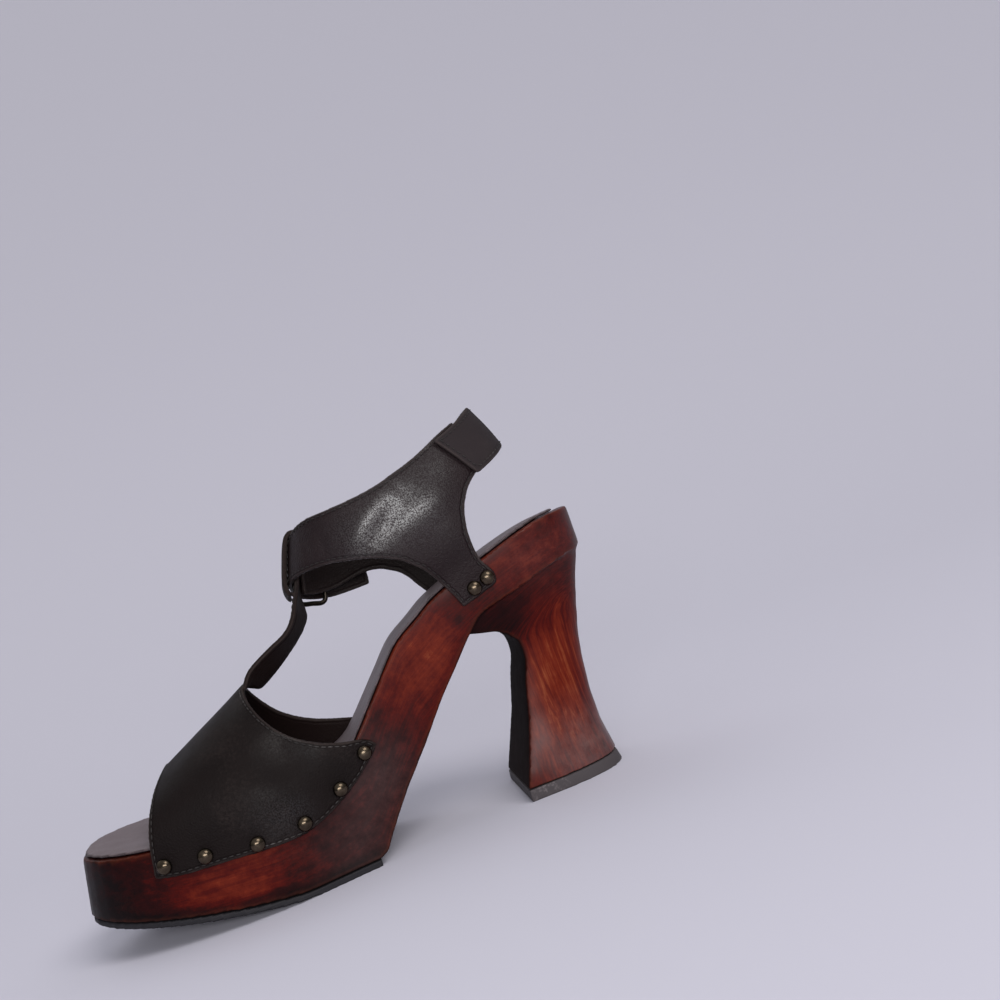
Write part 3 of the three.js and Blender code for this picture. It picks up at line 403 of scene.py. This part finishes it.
pores = along_grain(1900, 60, 3.0, 0.2)
streaks = along_grain(650, 22, 4.0, 0.5)
figure = along_grain(210, 26, 3.0, 1.0)
blotches = add(tree, "ShaderNodeTexNoise", {"Vector": spot, "Scale": 190.0, "Detail": 6.0,
                                            "Roughness": 0.7})
heel_streaks = add(tree, "ShaderNodeMapRange", {"Value": on_heel, "To Min": 0.28, "To Max": 0.75})
heel_blotches = add(tree, "ShaderNodeMapRange", {"Value": on_heel, "To Min": 0.6, "To Max": 0.25})
tone = weighed(stain_and_shade_value, pores, 0.2)
tone = weighed(tone, streaks, heel_streaks.outputs["Result"])
tone = weighed(tone, figure, 0.3)
tone = weighed(tone, blotches, heel_blotches.outputs["Result"])
ramp = add(tree, "ShaderNodeValToRGB", {"Fac": tone})
ramp.color_ramp.elements[0].position = 0.08
ramp.color_ramp.elements[0].color = (0.004, 0.0012, 0.0013, 1)
ramp.color_ramp.elements[1].position = 1.0
ramp.color_ramp.elements[1].color = (0.225, 0.055, 0.02, 1)
for position, color in ((0.34, (0.019, 0.0019, 0.0017, 1)), (0.54, (0.056, 0.003, 0.0016, 1)),
                        (0.76, (0.116, 0.012, 0.004, 1))):
    ramp.color_ramp.elements.new(position).color = color
rubbed = add(tree, "ShaderNodeMath", {0: on_rim, 1: blotches.outputs["Fac"]}, operation="MULTIPLY")
color = mix_colors(tree, rubbed.outputs[0], ramp.outputs["Color"], (0.16, 0.035, 0.014, 1))
# Painted shade: the heel's front and the downward faces coloured nearly black.
color = mix_colors(tree, on_bare_and_shaded, color, (0.009, 0.004, 0.004, 1))
wear = add(tree, "ShaderNodeGroup", {"Place": spot, "Size": 900.0, "Amount": 0.04},
           node_tree=scuffs)
color = mix_colors(tree, wear.outputs["Mask"], color, (0.13, 0.06, 0.045, 1))
# Greyish haze over the glossy patches: partly dust, partly painted sheen.
haze_and_sheen = add(tree, "ShaderNodeMath", {0: on_varnish_and_sheen, 1: blotches.outputs["Fac"]},
           operation="MULTIPLY")
haze_and_sheen = add(tree, "ShaderNodeMath", {0: haze_and_sheen.outputs[0], 1: 0.6}, operation="MULTIPLY")
color = mix_colors(tree, haze_and_sheen.outputs[0], color, (0.16, 0.11, 0.105, 1))
rough = add(tree, "ShaderNodeMapRange", {"Value": blotches.outputs["Fac"], "From Min": 0.3,
                                         "From Max": 0.7, "To Min": 0.34, "To Max": 0.5})
rough = add(tree, "ShaderNodeMath", {0: on_bare_and_shaded, 1: 0.45, 2: rough.outputs["Result"]},
            operation="MULTIPLY_ADD")
varnish = add(tree, "ShaderNodeMapRange", {"Value": on_varnish_and_sheen, "To Min": 0.06, "To Max": 0.5})
off_bare_and_shaded = add(tree, "ShaderNodeMath", {0: 1.0, 1: on_bare_and_shaded}, operation="SUBTRACT")
varnish = add(tree, "ShaderNodeMath", {0: varnish.outputs["Result"], 1: off_bare_and_shaded.outputs[0]},
              operation="MULTIPLY")
bump = add(tree, "ShaderNodeBump", {"Height": streaks.outputs["Fac"], "Strength": 0.1,
                                    "Distance": 0.0004})
finish_surface(tree, {"Base Color": color, "Roughness": rough.outputs[0],
                      "Normal": bump.outputs["Normal"], "Coat Weight": varnish.outputs[0],
                      "Coat Roughness": 0.22, "Specular IOR Level": 0.06})
wood.data.materials.append(wood_material)
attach(wood, "root")
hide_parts("wooden_sole")


# Rubber tread under the forefoot and rubber lift under the heel: sheets of black rubber glued on
# and trimmed flush with the wood. The heel's lift is the dustier and more scuffed of the two.
RUBBER_VOXEL = 0.0008
TRIM = 0.986  # how far it is drawn in from the edge of the wood
for node, dust_amount, new_color, worn_color in (
    ("forefoot_outsole", 0.4, (0.0105, 0.0095, 0.0125, 1), (0.028, 0.0255, 0.032, 1)),
    ("heel_lift", 1.0, (0.05, 0.042, 0.045, 1), (0.17, 0.145, 0.15, 1)),
):
    rubber_material, tree = new_material(node.replace("_", " ") + " rubber")
    spot = add(tree, "ShaderNodeTexCoord").outputs["Object"]
    dust = add(tree, "ShaderNodeGroup", {"Place": spot, "Size": 420.0, "Amount": dust_amount},
               node_tree=scuffs)
    color = mix_colors(tree, dust.outputs["Mask"], new_color, worn_color)
    pores = add(tree, "ShaderNodeTexNoise", {"Vector": spot, "Scale": 1800.0, "Detail": 3.0})
    bump = add(tree, "ShaderNodeBump", {"Height": pores.outputs["Fac"], "Strength": 0.25,
                                        "Distance": 0.0003})
    finish_surface(tree, {"Base Color": color, "Roughness": 0.7, "Normal": bump.outputs["Normal"],
                          "Specular IOR Level": 0.3})
    rubber, edges = softened_copy(node, node + "_piece", RUBBER_VOXEL, 1)
    places = vertex_places(rubber.data)
    middle = (places.min(0) + places.max(0)) / 2
    places = middle + (places - middle) * (TRIM, TRIM, 1)
    rubber.data.vertices.foreach_set("co", places.ravel())
    rubber.data.update()
    smooth_shading(rubber.data, edges, 20)
    rubber.data.materials.append(rubber_material)
    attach(rubber, "root")
    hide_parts(node)


# Insole sock: a smooth leather lining about 1.3 mm thick, glued on the wood from the toe to the
# heel seat. Its leather is a pale mauve grey, partly its own colour and partly painted sheen, and
# its cut edge is nearly black.
SOCK_VOXEL = 0.0008
NO_SEAM = 0.5  # a seam further in than any piece is wide


def patches_of(node):
    """Outer and inner faces of a leather piece, as lists of bmesh faces, the outer one first."""
    shape = merged_shape(node)
    shape.faces.ensure_lookup_table()
    seen = set()
    groups = []
    for first in shape.faces:
        if first.index in seen:
            continue
        seen.add(first.index)
        group = [first]
        for face in group:
            for edge in face.edges:
                for other in edge.link_faces:
                    if other.index in seen or edge.calc_face_angle(0) > math.radians(48):
                        continue
                    seen.add(other.index)
                    group.append(other)
        groups.append(group)
    groups.sort(key=lambda faces: -sum(face.calc_area() for face in faces))
    return shape, groups[0], groups[1]


def rims_of(faces):
    """Border loops of a patch: lists of (place, normal, inward direction)."""
    inside = {face.index for face in faces}
    following = {}
    for face in faces:
        for loop in face.loops:
            others = [f for f in loop.edge.link_faces if f is not face]
            if not any(f.index in inside for f in others):
                following[loop.vert] = (loop.link_loop_next.vert, face)
    rims = []
    while following:
        start = next(iter(following))
        rim = []
        vertex = start
        while vertex in following:
            after, face = following.pop(vertex)
            along_edge = (after.co - vertex.co).normalized()
            rim.append((vertex.co.copy(), face.normal.copy(), face.normal.cross(along_edge)))
            vertex = after
        rims.append(rim)
    return rims


def rim_samples(rim, pitch=0.001):
    """A border loop resampled evenly, with its directions averaged over a few millimetres."""
    places = np.array([entry[0] for entry in rim] + [rim[0][0]])
    steps = np.linalg.norm(np.diff(places, axis=0), axis=1)
    reach = np.concatenate([[0], np.cumsum(steps)])
    count = max(int(reach[-1] / pitch), 8)
    at = np.linspace(0, reach[-1], count, endpoint=False)
    spots = np.stack([np.interp(at, reach, places[:, k]) for k in range(3)], 1)
    owner = np.clip(np.searchsorted(reach, at, side="right") - 1, 0, len(rim) - 1)
    inward = np.array([rim[i][2] for i in owner])
    window = 5
    smooth = sum(np.roll(inward, k, axis=0) for k in range(-window, window + 1))
    smooth /= np.linalg.norm(smooth, axis=1)[:, None]
    return spots, smooth


def leather_piece(node, name, voxel, creases, dents, polished=(), rounded=2):
    """Leather piece with its creases pressed in and its rim distance, flesh side and polish
    marked."""
    piece, edges = softened_copy(node, name, voxel, 3, rounded)
    shape, outer, inner = patches_of(node)
    rims = [rim_samples(rim) for rim in rims_of(outer)]
    rims = [rim for rim in rims if len(rim[0]) > 60]
    backs = [rim_samples(rim)[0] for rim in rims_of(inner)]
    border = np.vstack([rim[0] for rim in rims] + backs)
    border_tree = kdtree.KDTree(len(border))
    for i, place in enumerate(border):
        border_tree.insert(place, i)
    border_tree.balance()
    sides = []
    for faces in (outer, inner):
        corners = [v.co.copy() for face in faces for v in face.verts]
        sides.append(BVHTree.FromPolygons(corners, [(i, i + 1, i + 2)
                                                    for i in range(0, len(corners), 3)]))
    shape.free()
    places = vertex_places(piece.data)
    normals = vertex_normals(piece.data)
    rim_reach = np.array([border_tree.find(place)[2] for place in places])
    flesh = np.array([
        1.0 if sides[1].find_nearest(place)[3] < sides[0].find_nearest(place)[3] else 0.0
        for place in map(Vector, places)])
    sink = np.zeros(len(places))
    for begin, end, width, depth in creases:
        begin, end = np.array(begin), np.array(end)
        span = end - begin
        share = np.clip(((places - begin) @ span) / (span @ span), 0, 1)
        gap = np.linalg.norm(places - begin - share[:, None] * span, axis=1)
        fade = np.sin(np.pi * np.clip(share, 0.02, 0.98)) ** 0.5
        sink += depth * fade * np.exp(-((gap / width) ** 2))
    for centre, radius, depth in dents:
        gap = np.linalg.norm(places - np.array(centre), axis=1)
        sink += depth * np.exp(-((gap / radius) ** 2))
    polish = np.zeros(len(places))
    for centre, radius, amount in polished:
        gap = np.linalg.norm(places - np.array(centre), axis=1)
        polish += amount * np.exp(-((gap / radius) ** 2))
    outward = normals * (1 - 2 * flesh)[:, None]
    places = places - outward * sink[:, None]
    piece.data.vertices.foreach_set("co", places.ravel())
    piece.data.update()
    if not rounded:
        smooth_shading(piece.data, edges, SHADING_ROUNDS)
    store(piece.data, "rim", rim_reach)
    store(piece.data, "flesh", flesh)
    store(piece.data, "polish", polish * (1 - flesh))
    return piece, rims


def grain_group():
    """Hide grain: fine pebbles over soft wrinkles, as a height."""
    group = bpy.data.node_groups.new("hide grain", "ShaderNodeTree")
    group.interface.new_socket("Place", in_out="INPUT", socket_type="NodeSocketVector")
    group.interface.new_socket("Pebble", in_out="INPUT", socket_type="NodeSocketFloat")
    group.interface.new_socket("Height", in_out="OUTPUT", socket_type="NodeSocketFloat")
    start = add(group, "NodeGroupInput")
    pebbles = add(group, "ShaderNodeTexNoise", {
        "Vector": start.outputs["Place"], "Scale": start.outputs["Pebble"], "Detail": 2.0})
    wrinkles = add(group, "ShaderNodeTexNoise", {
        "Vector": start.outputs["Place"], "Scale": 240.0, "Detail": 4.0, "Roughness": 0.6})
    both = add(group, "ShaderNodeMath", {0: pebbles.outputs["Fac"], 1: 3.0,
                                         2: wrinkles.outputs["Fac"]}, operation="MULTIPLY_ADD")
    add(group, "NodeGroupOutput", {"Height": both.outputs[0]})
    return group


hide_grain = grain_group()


def leather_material(name, dark, light, edge, flesh_color, gloss, shine, pebble, relief,
                     seam_inset):
    """Leather that is clouded from dark to light. gloss: its lowest roughness. shine: specular
    level. pebble: grain to the metre. relief: strength of the grain. seam_inset: where the seam's
    groove runs, from the rim."""
    material, tree = new_material(name)
    spot = add(tree, "ShaderNodeTexCoord").outputs["Object"]
    rim = add(tree, "ShaderNodeAttribute", attribute_name="rim").outputs["Fac"]
    flesh = add(tree, "ShaderNodeAttribute", attribute_name="flesh").outputs["Fac"]
    cloud = add(tree, "ShaderNodeTexNoise", {"Vector": spot, "Scale": 60.0, "Detail": 5.0,
                                             "Roughness": 0.6})
    color = mix_colors(tree, cloud.outputs["Fac"], dark, light)
    wear = add(tree, "ShaderNodeGroup", {"Place": spot, "Size": 800.0, "Amount": 0.25},
               node_tree=scuffs)
    color = mix_colors(tree, wear.outputs["Mask"], color, edge)
    color = mix_colors(tree, flesh, color, flesh_color)
    # The cut edge takes the edge colour: nearly black on the sock; paler on the upper's leather,
    # partly its own colour and partly painted highlight where the edge catches the light.
    cut = add(tree, "ShaderNodeMapRange", {"Value": rim, "From Min": 0.0004, "From Max": 0.0011,
                                           "To Min": 0.85, "To Max": 0.0})
    color = mix_colors(tree, cut.outputs["Result"], color, edge)
    grain = add(tree, "ShaderNodeGroup", {"Place": spot, "Pebble": pebble},
                node_tree=hide_grain)
    off_seam = add(tree, "ShaderNodeMath", {0: rim, 1: seam_inset}, operation="SUBTRACT")
    seam_gap = add(tree, "ShaderNodeMath", {0: off_seam.outputs[0]}, operation="ABSOLUTE")
    seam = add(tree, "ShaderNodeMapRange", {"Value": seam_gap.outputs[0], "From Max": 0.0009},
               interpolation_type="SMOOTHSTEP")
    pressed = add(tree, "ShaderNodeMath", {0: seam.outputs["Result"], 1: 2.0,
                                           2: grain.outputs["Height"]},
                  operation="MULTIPLY_ADD")
    bump = add(tree, "ShaderNodeBump", {"Height": pressed.outputs[0], "Strength": relief,
                                        "Distance": 0.0003})
    rough = add(tree, "ShaderNodeMapRange", {"Value": cloud.outputs["Fac"], "From Min": 0.3,
                                             "From Max": 0.7, "To Min": gloss,
                                             "To Max": gloss + 0.14})
    polish = add(tree, "ShaderNodeAttribute", attribute_name="polish").outputs["Fac"]
    glints = add(tree, "ShaderNodeTexNoise", {"Vector": spot, "Scale": 1.3 * pebble, "Detail": 2.0})
    glints = add(tree, "ShaderNodeMapRange", {"Value": glints.outputs["Fac"], "From Min": 0.42,
                                              "From Max": 0.62, "To Min": 0.12, "To Max": 1.0})
    polished = add(tree, "ShaderNodeMath", {0: polish, 1: glints.outputs["Result"]},
                   operation="MULTIPLY")
    finish_surface(tree, {"Base Color": color, "Roughness": rough.outputs["Result"],
                          "Normal": bump.outputs["Normal"], "Specular IOR Level": shine,
                          "Coat Weight": polished.outputs[0], "Coat Roughness": 0.28})
    return material


sock, _ = leather_piece("insole_sock", "insole_sock_piece", SOCK_VOXEL, (), (), rounded=0)
# The sock's pale mauve colours are partly its own and partly painted sheen.
sock_leather_and_sheen = leather_material(
    "sock leather and sheen", (0.095, 0.071, 0.076, 1), (0.155, 0.117, 0.128, 1), (0.012, 0.009, 0.009, 1),
    (0.12, 0.09, 0.097, 1), gloss=0.45, shine=0.3, pebble=1900.0, relief=0.2, seam_inset=NO_SEAM)
sock.data.materials.append(sock_leather_and_sheen)
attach(sock, "root")
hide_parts("insole_sock")


# Leather upper: a wide vamp with its centre strap, and an inner and an outer quarter, cut from
# smooth dark brown hide about 2 mm thick with a paler flesh side, burnished at the cut edges and
# stitched all round. The cut edges are coloured paler, partly their own colour and partly painted
# highlight where they catch the light. Creases lie where the straps bend.
UPPER_VOXEL = 0.0006
STITCH_INSET = 0.0016
STITCH_PITCH = 0.0027
STITCH_SIZE = (0.0003, 0.0003, 0.00105)
DENT_RADIUS = 0.0045
DENT_DEPTH = 0.0005


def stitch_tree(thread):
    """Stitches along paths: short rounded threads laid end to end."""
    tree = bpy.data.node_groups.new("stitches", "GeometryNodeTree")
    face = tree.interface
    face.new_socket("Path", in_out="INPUT", socket_type="NodeSocketGeometry")
    face.new_socket("Pitch", in_out="INPUT", socket_type="NodeSocketFloat")
    face.new_socket("Stitch", in_out="INPUT", socket_type="NodeSocketVector")
    face.new_socket("Stitches", in_out="OUTPUT", socket_type="NodeSocketGeometry")
    start = add(tree, "NodeGroupInput")
    curve = add(tree, "GeometryNodeMeshToCurve", {"Mesh": start.outputs["Path"]})
    points = add(tree, "GeometryNodeCurveToPoints", {
        "Curve": curve.outputs[0], "Length": start.outputs["Pitch"]}, mode="LENGTH")
    bead = add(tree, "GeometryNodeMeshUVSphere", {"Segments": 6, "Rings": 5, "Radius": 1.0})
    laid = add(tree, "GeometryNodeInstanceOnPoints", {
        "Points": points.outputs["Points"], "Instance": bead.outputs["Mesh"],
        "Rotation": points.outputs["Rotation"], "Scale": start.outputs["Stitch"]})
    real = add(tree, "GeometryNodeRealizeInstances", {"Geometry": laid.outputs[0]})
    colored = add(tree, "GeometryNodeSetMaterial", {"Geometry": real.outputs[0],
                                                    "Material": thread})
    add(tree, "NodeGroupOutput", {"Stitches": colored.outputs[0]})
    return tree


thread_material, tree = new_material("waxed thread")
spot = add(tree, "ShaderNodeTexCoord").outputs["Object"]
twist = add(tree, "ShaderNodeTexNoise", {"Vector": spot, "Scale": 900.0, "Detail": 2.0})
color = mix_colors(tree, twist.outputs["Fac"], (0.008, 0.007, 0.007, 1), (0.025, 0.02, 0.019, 1))
worn = add(tree, "ShaderNodeGroup", {"Place": spot, "Size": 300.0, "Amount": 0.35},
           node_tree=scuffs)
color = mix_colors(tree, worn.outputs["Mask"], color, (0.14, 0.125, 0.12, 1))
finish_surface(tree, {"Base Color": color, "Roughness": 0.6, "Specular IOR Level": 0.3})
stitches = stitch_tree(thread_material)


def stitched_rows(name, paths, over):
    """Stitches on a piece, along paths drawn a little inside its borders."""
    surface = BVHTree.FromObject(over, bpy.context.evaluated_depsgraph_get())
    points = []
    edges = []
    for path in paths:
        first = len(points)
        for place in path:
            near, normal, _, _ = surface.find_nearest(Vector(place))
            points.append(near + normal * 0.0001)
        edges += [(first + i, first + i + 1) for i in range(len(path) - 1)]
    mesh = bpy.data.meshes.new(name)
    mesh.from_pydata(points, edges, [])
    rows = link(name + "_path", mesh)
    sewing = rows.modifiers.new("sewing", "NODES")
    sewing.node_group = stitches
    sockets = {item.name: item.identifier for item in stitches.interface.items_tree}
    sewing[sockets["Pitch"]] = STITCH_PITCH
    sewing[sockets["Stitch"]] = STITCH_SIZE
    return baked(rows, name)


def inset_paths(spots, inward, inset):
    """Places a given distance inside a border, without the corners' crossings, as open runs."""
    border_tree = kdtree.KDTree(len(spots))
    for i, place in enumerate(spots):
        border_tree.insert(place, i)
    border_tree.balance()
    moved = spots + inward * inset
    kept = [border_tree.find(place)[2] > 0.93 * inset for place in moved]
    if all(kept):
        return [np.vstack([moved, moved[:1]])]
    turn = kept.index(False)
    paths = []
    run = []
    for k in range(len(moved) + 1):
        i = (turn + k) % len(moved)
        if kept[i] and k < len(moved):
            run.append(moved[i])
        else:
            if len(run) > 6:
                paths.append(np.array(run))
            run = []
    joined = []
    for path in paths:
        if joined and np.linalg.norm(path[0] - joined[-1][-1]) < 0.006:
            joined[-1] = np.vstack([joined[-1], path])
        else:
            joined.append(path)
    return joined


vamp_leather = leather_material(
    "dark brown leather", (0.0052, 0.0036, 0.0036, 1), (0.0105, 0.0073, 0.007, 1),
    (0.035, 0.026, 0.024, 1), (0.012, 0.007, 0.0065, 1), gloss=0.46, shine=0.05,
    pebble=1500.0, relief=0.4, seam_inset=STITCH_INSET)
quarter_leather = leather_material(
    "glossy brown leather", (0.0088, 0.0049, 0.0056, 1), (0.0165, 0.0092, 0.0104, 1),
    (0.035, 0.026, 0.024, 1), (0.010, 0.006, 0.0055, 1), gloss=0.34, shine=0.14,
    pebble=1500.0, relief=0.6, seam_inset=STITCH_INSET)

VAMP_CREASES = (
    # begin, end, width, depth: minus for a ridge
    ((-0.0516, -0.0406, 0.0566), (-0.0257, -0.0406, 0.0382), 0.006, -0.0003),
    ((-0.0098, -0.0366, 0.048), (-0.03, -0.038, 0.06), 0.005, 0.0003),
)
VAMP_POLISH = (
    # centre, radius, amount
    ((-0.0225, -0.0332, 0.0625), 0.010, 0.3),
    ((-0.0366, -0.0431, 0.0347), 0.009, 0.5),
    ((-0.0272, -0.0410, 0.0339), 0.006, 0.5),
)
QUARTER_POLISH = (
    ((0.0590, -0.0350, 0.1310), 0.015, 0.9),
    ((0.0400, -0.0340, 0.1330), 0.014, 0.8),
    ((0.0269, -0.0321, 0.1273), 0.012, 1.1),
    ((0.0715, -0.0317, 0.1438), 0.009, 0.7),
)
QUARTER_CREASES = (
    ((0.0216, -0.0308, 0.1219), (0.051, -0.0335, 0.1427), 0.006, -0.0007),
    ((0.033, -0.0337, 0.1225), (0.0505, -0.0345, 0.1363), 0.005, 0.0004),
    ((0.0443, -0.0353, 0.1215), (0.078, -0.0314, 0.1375), 0.0085, -0.0008),
    ((0.0151, -0.0263, 0.137), (0.0171, -0.0268, 0.121), 0.0025, 0.0004),
    ((0.008, -0.021, 0.136), (0.0095, -0.0225, 0.12), 0.0022, 0.0003),
    ((0.0655, -0.0348, 0.1221), (0.0715, -0.0345, 0.104), 0.006, -0.0004),
)


def stud_places(names):
    """Foot and outward direction of each CAD stud."""
    found = []
    for node in names:
        places = vertex_places(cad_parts[node].data)
        centre = (places.min(0) + places.max(0)) / 2
        mean = places.mean(0)
        spread = places - mean
        _, _, axes_found = np.linalg.svd(np.unique(spread.round(6), axis=0), full_matrices=False)
        axis = axes_found[2]
        if axis[1] * np.sign(centre[1]) < 0:
            axis = -axis
        heights = (places - mean) @ axis
        foot = places[heights < heights.min() + 1e-4].mean(0)
        found.append((Vector(foot), Vector(axis)))
    return found


VAMP_STUDS = [f"{side}_vamp_stud_{i}" for side in ("inner", "outer") for i in range(1, 7)]
TAB_STUDS = [f"{side}_tab_stud_{i}" for side in ("inner", "outer") for i in (1, 2)]
vamp_stud_places = stud_places(VAMP_STUDS)
tab_stud_places = stud_places(TAB_STUDS)
outer_creases = [((a[0], -a[1], a[2] - 0.006), (b[0], -b[1], b[2] - 0.006), width, depth)
                 for a, b, width, depth in QUARTER_CREASES[1:3]]
outer_polish = [((place[0], -place[1], place[2]), radius, amount)
                for place, radius, amount in QUARTER_POLISH]
for node, leather, creases, polished, places_of_studs in (
    ("vamp", vamp_leather, VAMP_CREASES, VAMP_POLISH, vamp_stud_places),
    ("inner_quarter", quarter_leather, QUARTER_CREASES, QUARTER_POLISH, tab_stud_places[:2]),
    ("outer_quarter", quarter_leather, outer_creases, outer_polish, tab_stud_places[2:]),
):
    dents = [(foot, DENT_RADIUS, DENT_DEPTH) for foot, _ in places_of_studs]
    piece, rims = leather_piece(node, node + "_piece", UPPER_VOXEL, creases, dents, polished)
    piece.data.materials.append(leather)
    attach(piece, "root")
    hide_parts(node)
    paths = [path for spots, inward in rims for path in inset_paths(spots, inward, STITCH_INSET)]
    rows = stitched_rows(node + "_stitches", paths, piece)
    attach(rows, "root")


# Heel band: the strap behind the heel, of the same hide brushed matt, lapped over the rear ends of
# both quarters and sewn through them.
BAND_STITCH_INSET = 0.002
matt_leather = leather_material(
    "matt brown leather", (0.014, 0.0105, 0.0113, 1), (0.028, 0.0208, 0.0225, 1),
    (0.045, 0.034, 0.032, 1), (0.010, 0.006, 0.0055, 1), gloss=0.66, shine=0.15,
    pebble=1700.0, relief=0.25, seam_inset=STITCH_INSET)
band, rims = leather_piece("heel_band", "heel_band_piece", UPPER_VOXEL, (), ())
band.data.materials.append(matt_leather)
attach(band, "root")
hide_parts("heel_band")
paths = [path for spots, inward in rims for path in inset_paths(spots, inward, BAND_STITCH_INSET)]
rows = stitched_rows("heel_band_stitches", paths, band)
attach(rows, "root")


# Studs: domed nails of darkened brass, driven through the leather into the sides of the wood.
STUD_RADIUS = 0.0031
STUD_RISE = 0.0022


def metal_material(name, dark, light, smooth, rough):
    """Tarnished metal, clouded from dark to light and from smooth to rough."""
    material, tree = new_material(name)
    spot = add(tree, "ShaderNodeTexCoord").outputs["Object"]
    tarnish = add(tree, "ShaderNodeTexNoise", {"Vector": spot, "Scale": 500.0, "Detail": 5.0})
    color = mix_colors(tree, tarnish.outputs["Fac"], dark, light)
    roughness = add(tree, "ShaderNodeMapRange", {"Value": tarnish.outputs["Fac"],
                                                 "To Min": smooth, "To Max": rough})
    finish_surface(tree, {"Base Color": color, "Metallic": 1.0,
                          "Roughness": roughness.outputs["Result"]})
    return material


brass_material = metal_material("old brass", (0.02, 0.015, 0.011, 1), (0.13, 0.1, 0.07, 1),
                                0.14, 0.36)


def stud_tree():
    """Domed studs on points, each turned to its own outward direction."""
    tree = bpy.data.node_groups.new("studs", "GeometryNodeTree")
    face = tree.interface
    face.new_socket("Places", in_out="INPUT", socket_type="NodeSocketGeometry")
    face.new_socket("Radius", in_out="INPUT", socket_type="NodeSocketFloat")
    face.new_socket("Rise", in_out="INPUT", socket_type="NodeSocketFloat")
    face.new_socket("Studs", in_out="OUTPUT", socket_type="NodeSocketGeometry")
    start = add(tree, "NodeGroupInput")
    ball = add(tree, "GeometryNodeMeshUVSphere", {"Segments": 28, "Rings": 18, "Radius": 1.0})
    place = add(tree, "GeometryNodeInputPosition")
    parts = add(tree, "ShaderNodeSeparateXYZ", {"Vector": place.outputs[0]})
    above = add(tree, "ShaderNodeMath", {0: parts.outputs["Z"], 1: 0.0}, operation="MAXIMUM")
    flat = add(tree, "ShaderNodeCombineXYZ", {"X": parts.outputs["X"], "Y": parts.outputs["Y"],
                                              "Z": above.outputs[0]})
    dome = add(tree, "GeometryNodeSetPosition", {"Geometry": ball.outputs["Mesh"],
                                                 "Position": flat.outputs[0]})
    outward = add(tree, "GeometryNodeInputNamedAttribute", {"Name": "outward"},
                  data_type="FLOAT_VECTOR")
    turned = add(tree, "FunctionNodeAlignRotationToVector",
                 {"Vector": outward.outputs["Attribute"]}, axis="Z")
    size = add(tree, "ShaderNodeCombineXYZ", {"X": start.outputs["Radius"],
                                              "Y": start.outputs["Radius"],
                                              "Z": start.outputs["Rise"]})
    laid = add(tree, "GeometryNodeInstanceOnPoints", {
        "Points": start.outputs["Places"], "Instance": dome.outputs[0],
        "Rotation": turned.outputs[0], "Scale": size.outputs[0]})
    real = add(tree, "GeometryNodeRealizeInstances", {"Geometry": laid.outputs[0]})
    colored = add(tree, "GeometryNodeSetMaterial", {"Geometry": real.outputs[0],
                                                    "Material": brass_material})
    add(tree, "NodeGroupOutput", {"Studs": colored.outputs[0]})
    return tree


studs = stud_tree()
for name, nodes, found in (("vamp_studs", VAMP_STUDS, vamp_stud_places),
                           ("tab_studs", TAB_STUDS, tab_stud_places)):
    mesh = bpy.data.meshes.new(name)
    mesh.from_pydata([foot for foot, _ in found], [], [])
    store(mesh, "outward", [tuple(axis) for _, axis in found], "FLOAT_VECTOR")
    nails = link(name + "_points", mesh)
    nailing = nails.modifiers.new("nailing", "NODES")
    nailing.node_group = studs
    sockets = {item.name: item.identifier for item in studs.interface.items_tree}
    nailing[sockets["Radius"]] = STUD_RADIUS
    nailing[sockets["Rise"]] = STUD_RISE
    heads = baked(nails, name)
    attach(heads, "root")
    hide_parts(*nodes)


# Buckle: a frame of bent brass wire, blackened, with its prong, fastened on the outer side. The
# strap's end lies over the outer quarter.
wire_material = metal_material("blackened wire", (0.008, 0.007, 0.006, 1),
                               (0.05, 0.04, 0.032, 1), 0.25, 0.5)
for node in ("buckle_frame", "buckle_prong"):
    mesh = bpy.data.meshes.new(node + "_piece")
    shape = merged_shape(node)
    shape.to_mesh(mesh)
    shape.free()
    wire = link(node + "_wire", mesh)
    rounding = wire.modifiers.new("rounding", "SUBSURF")
    rounding.levels = rounding.render_levels = 1
    wire = baked(wire, node + "_piece")
    wire.data.materials.append(wire_material)
    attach(wire, "root")
    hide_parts(node)
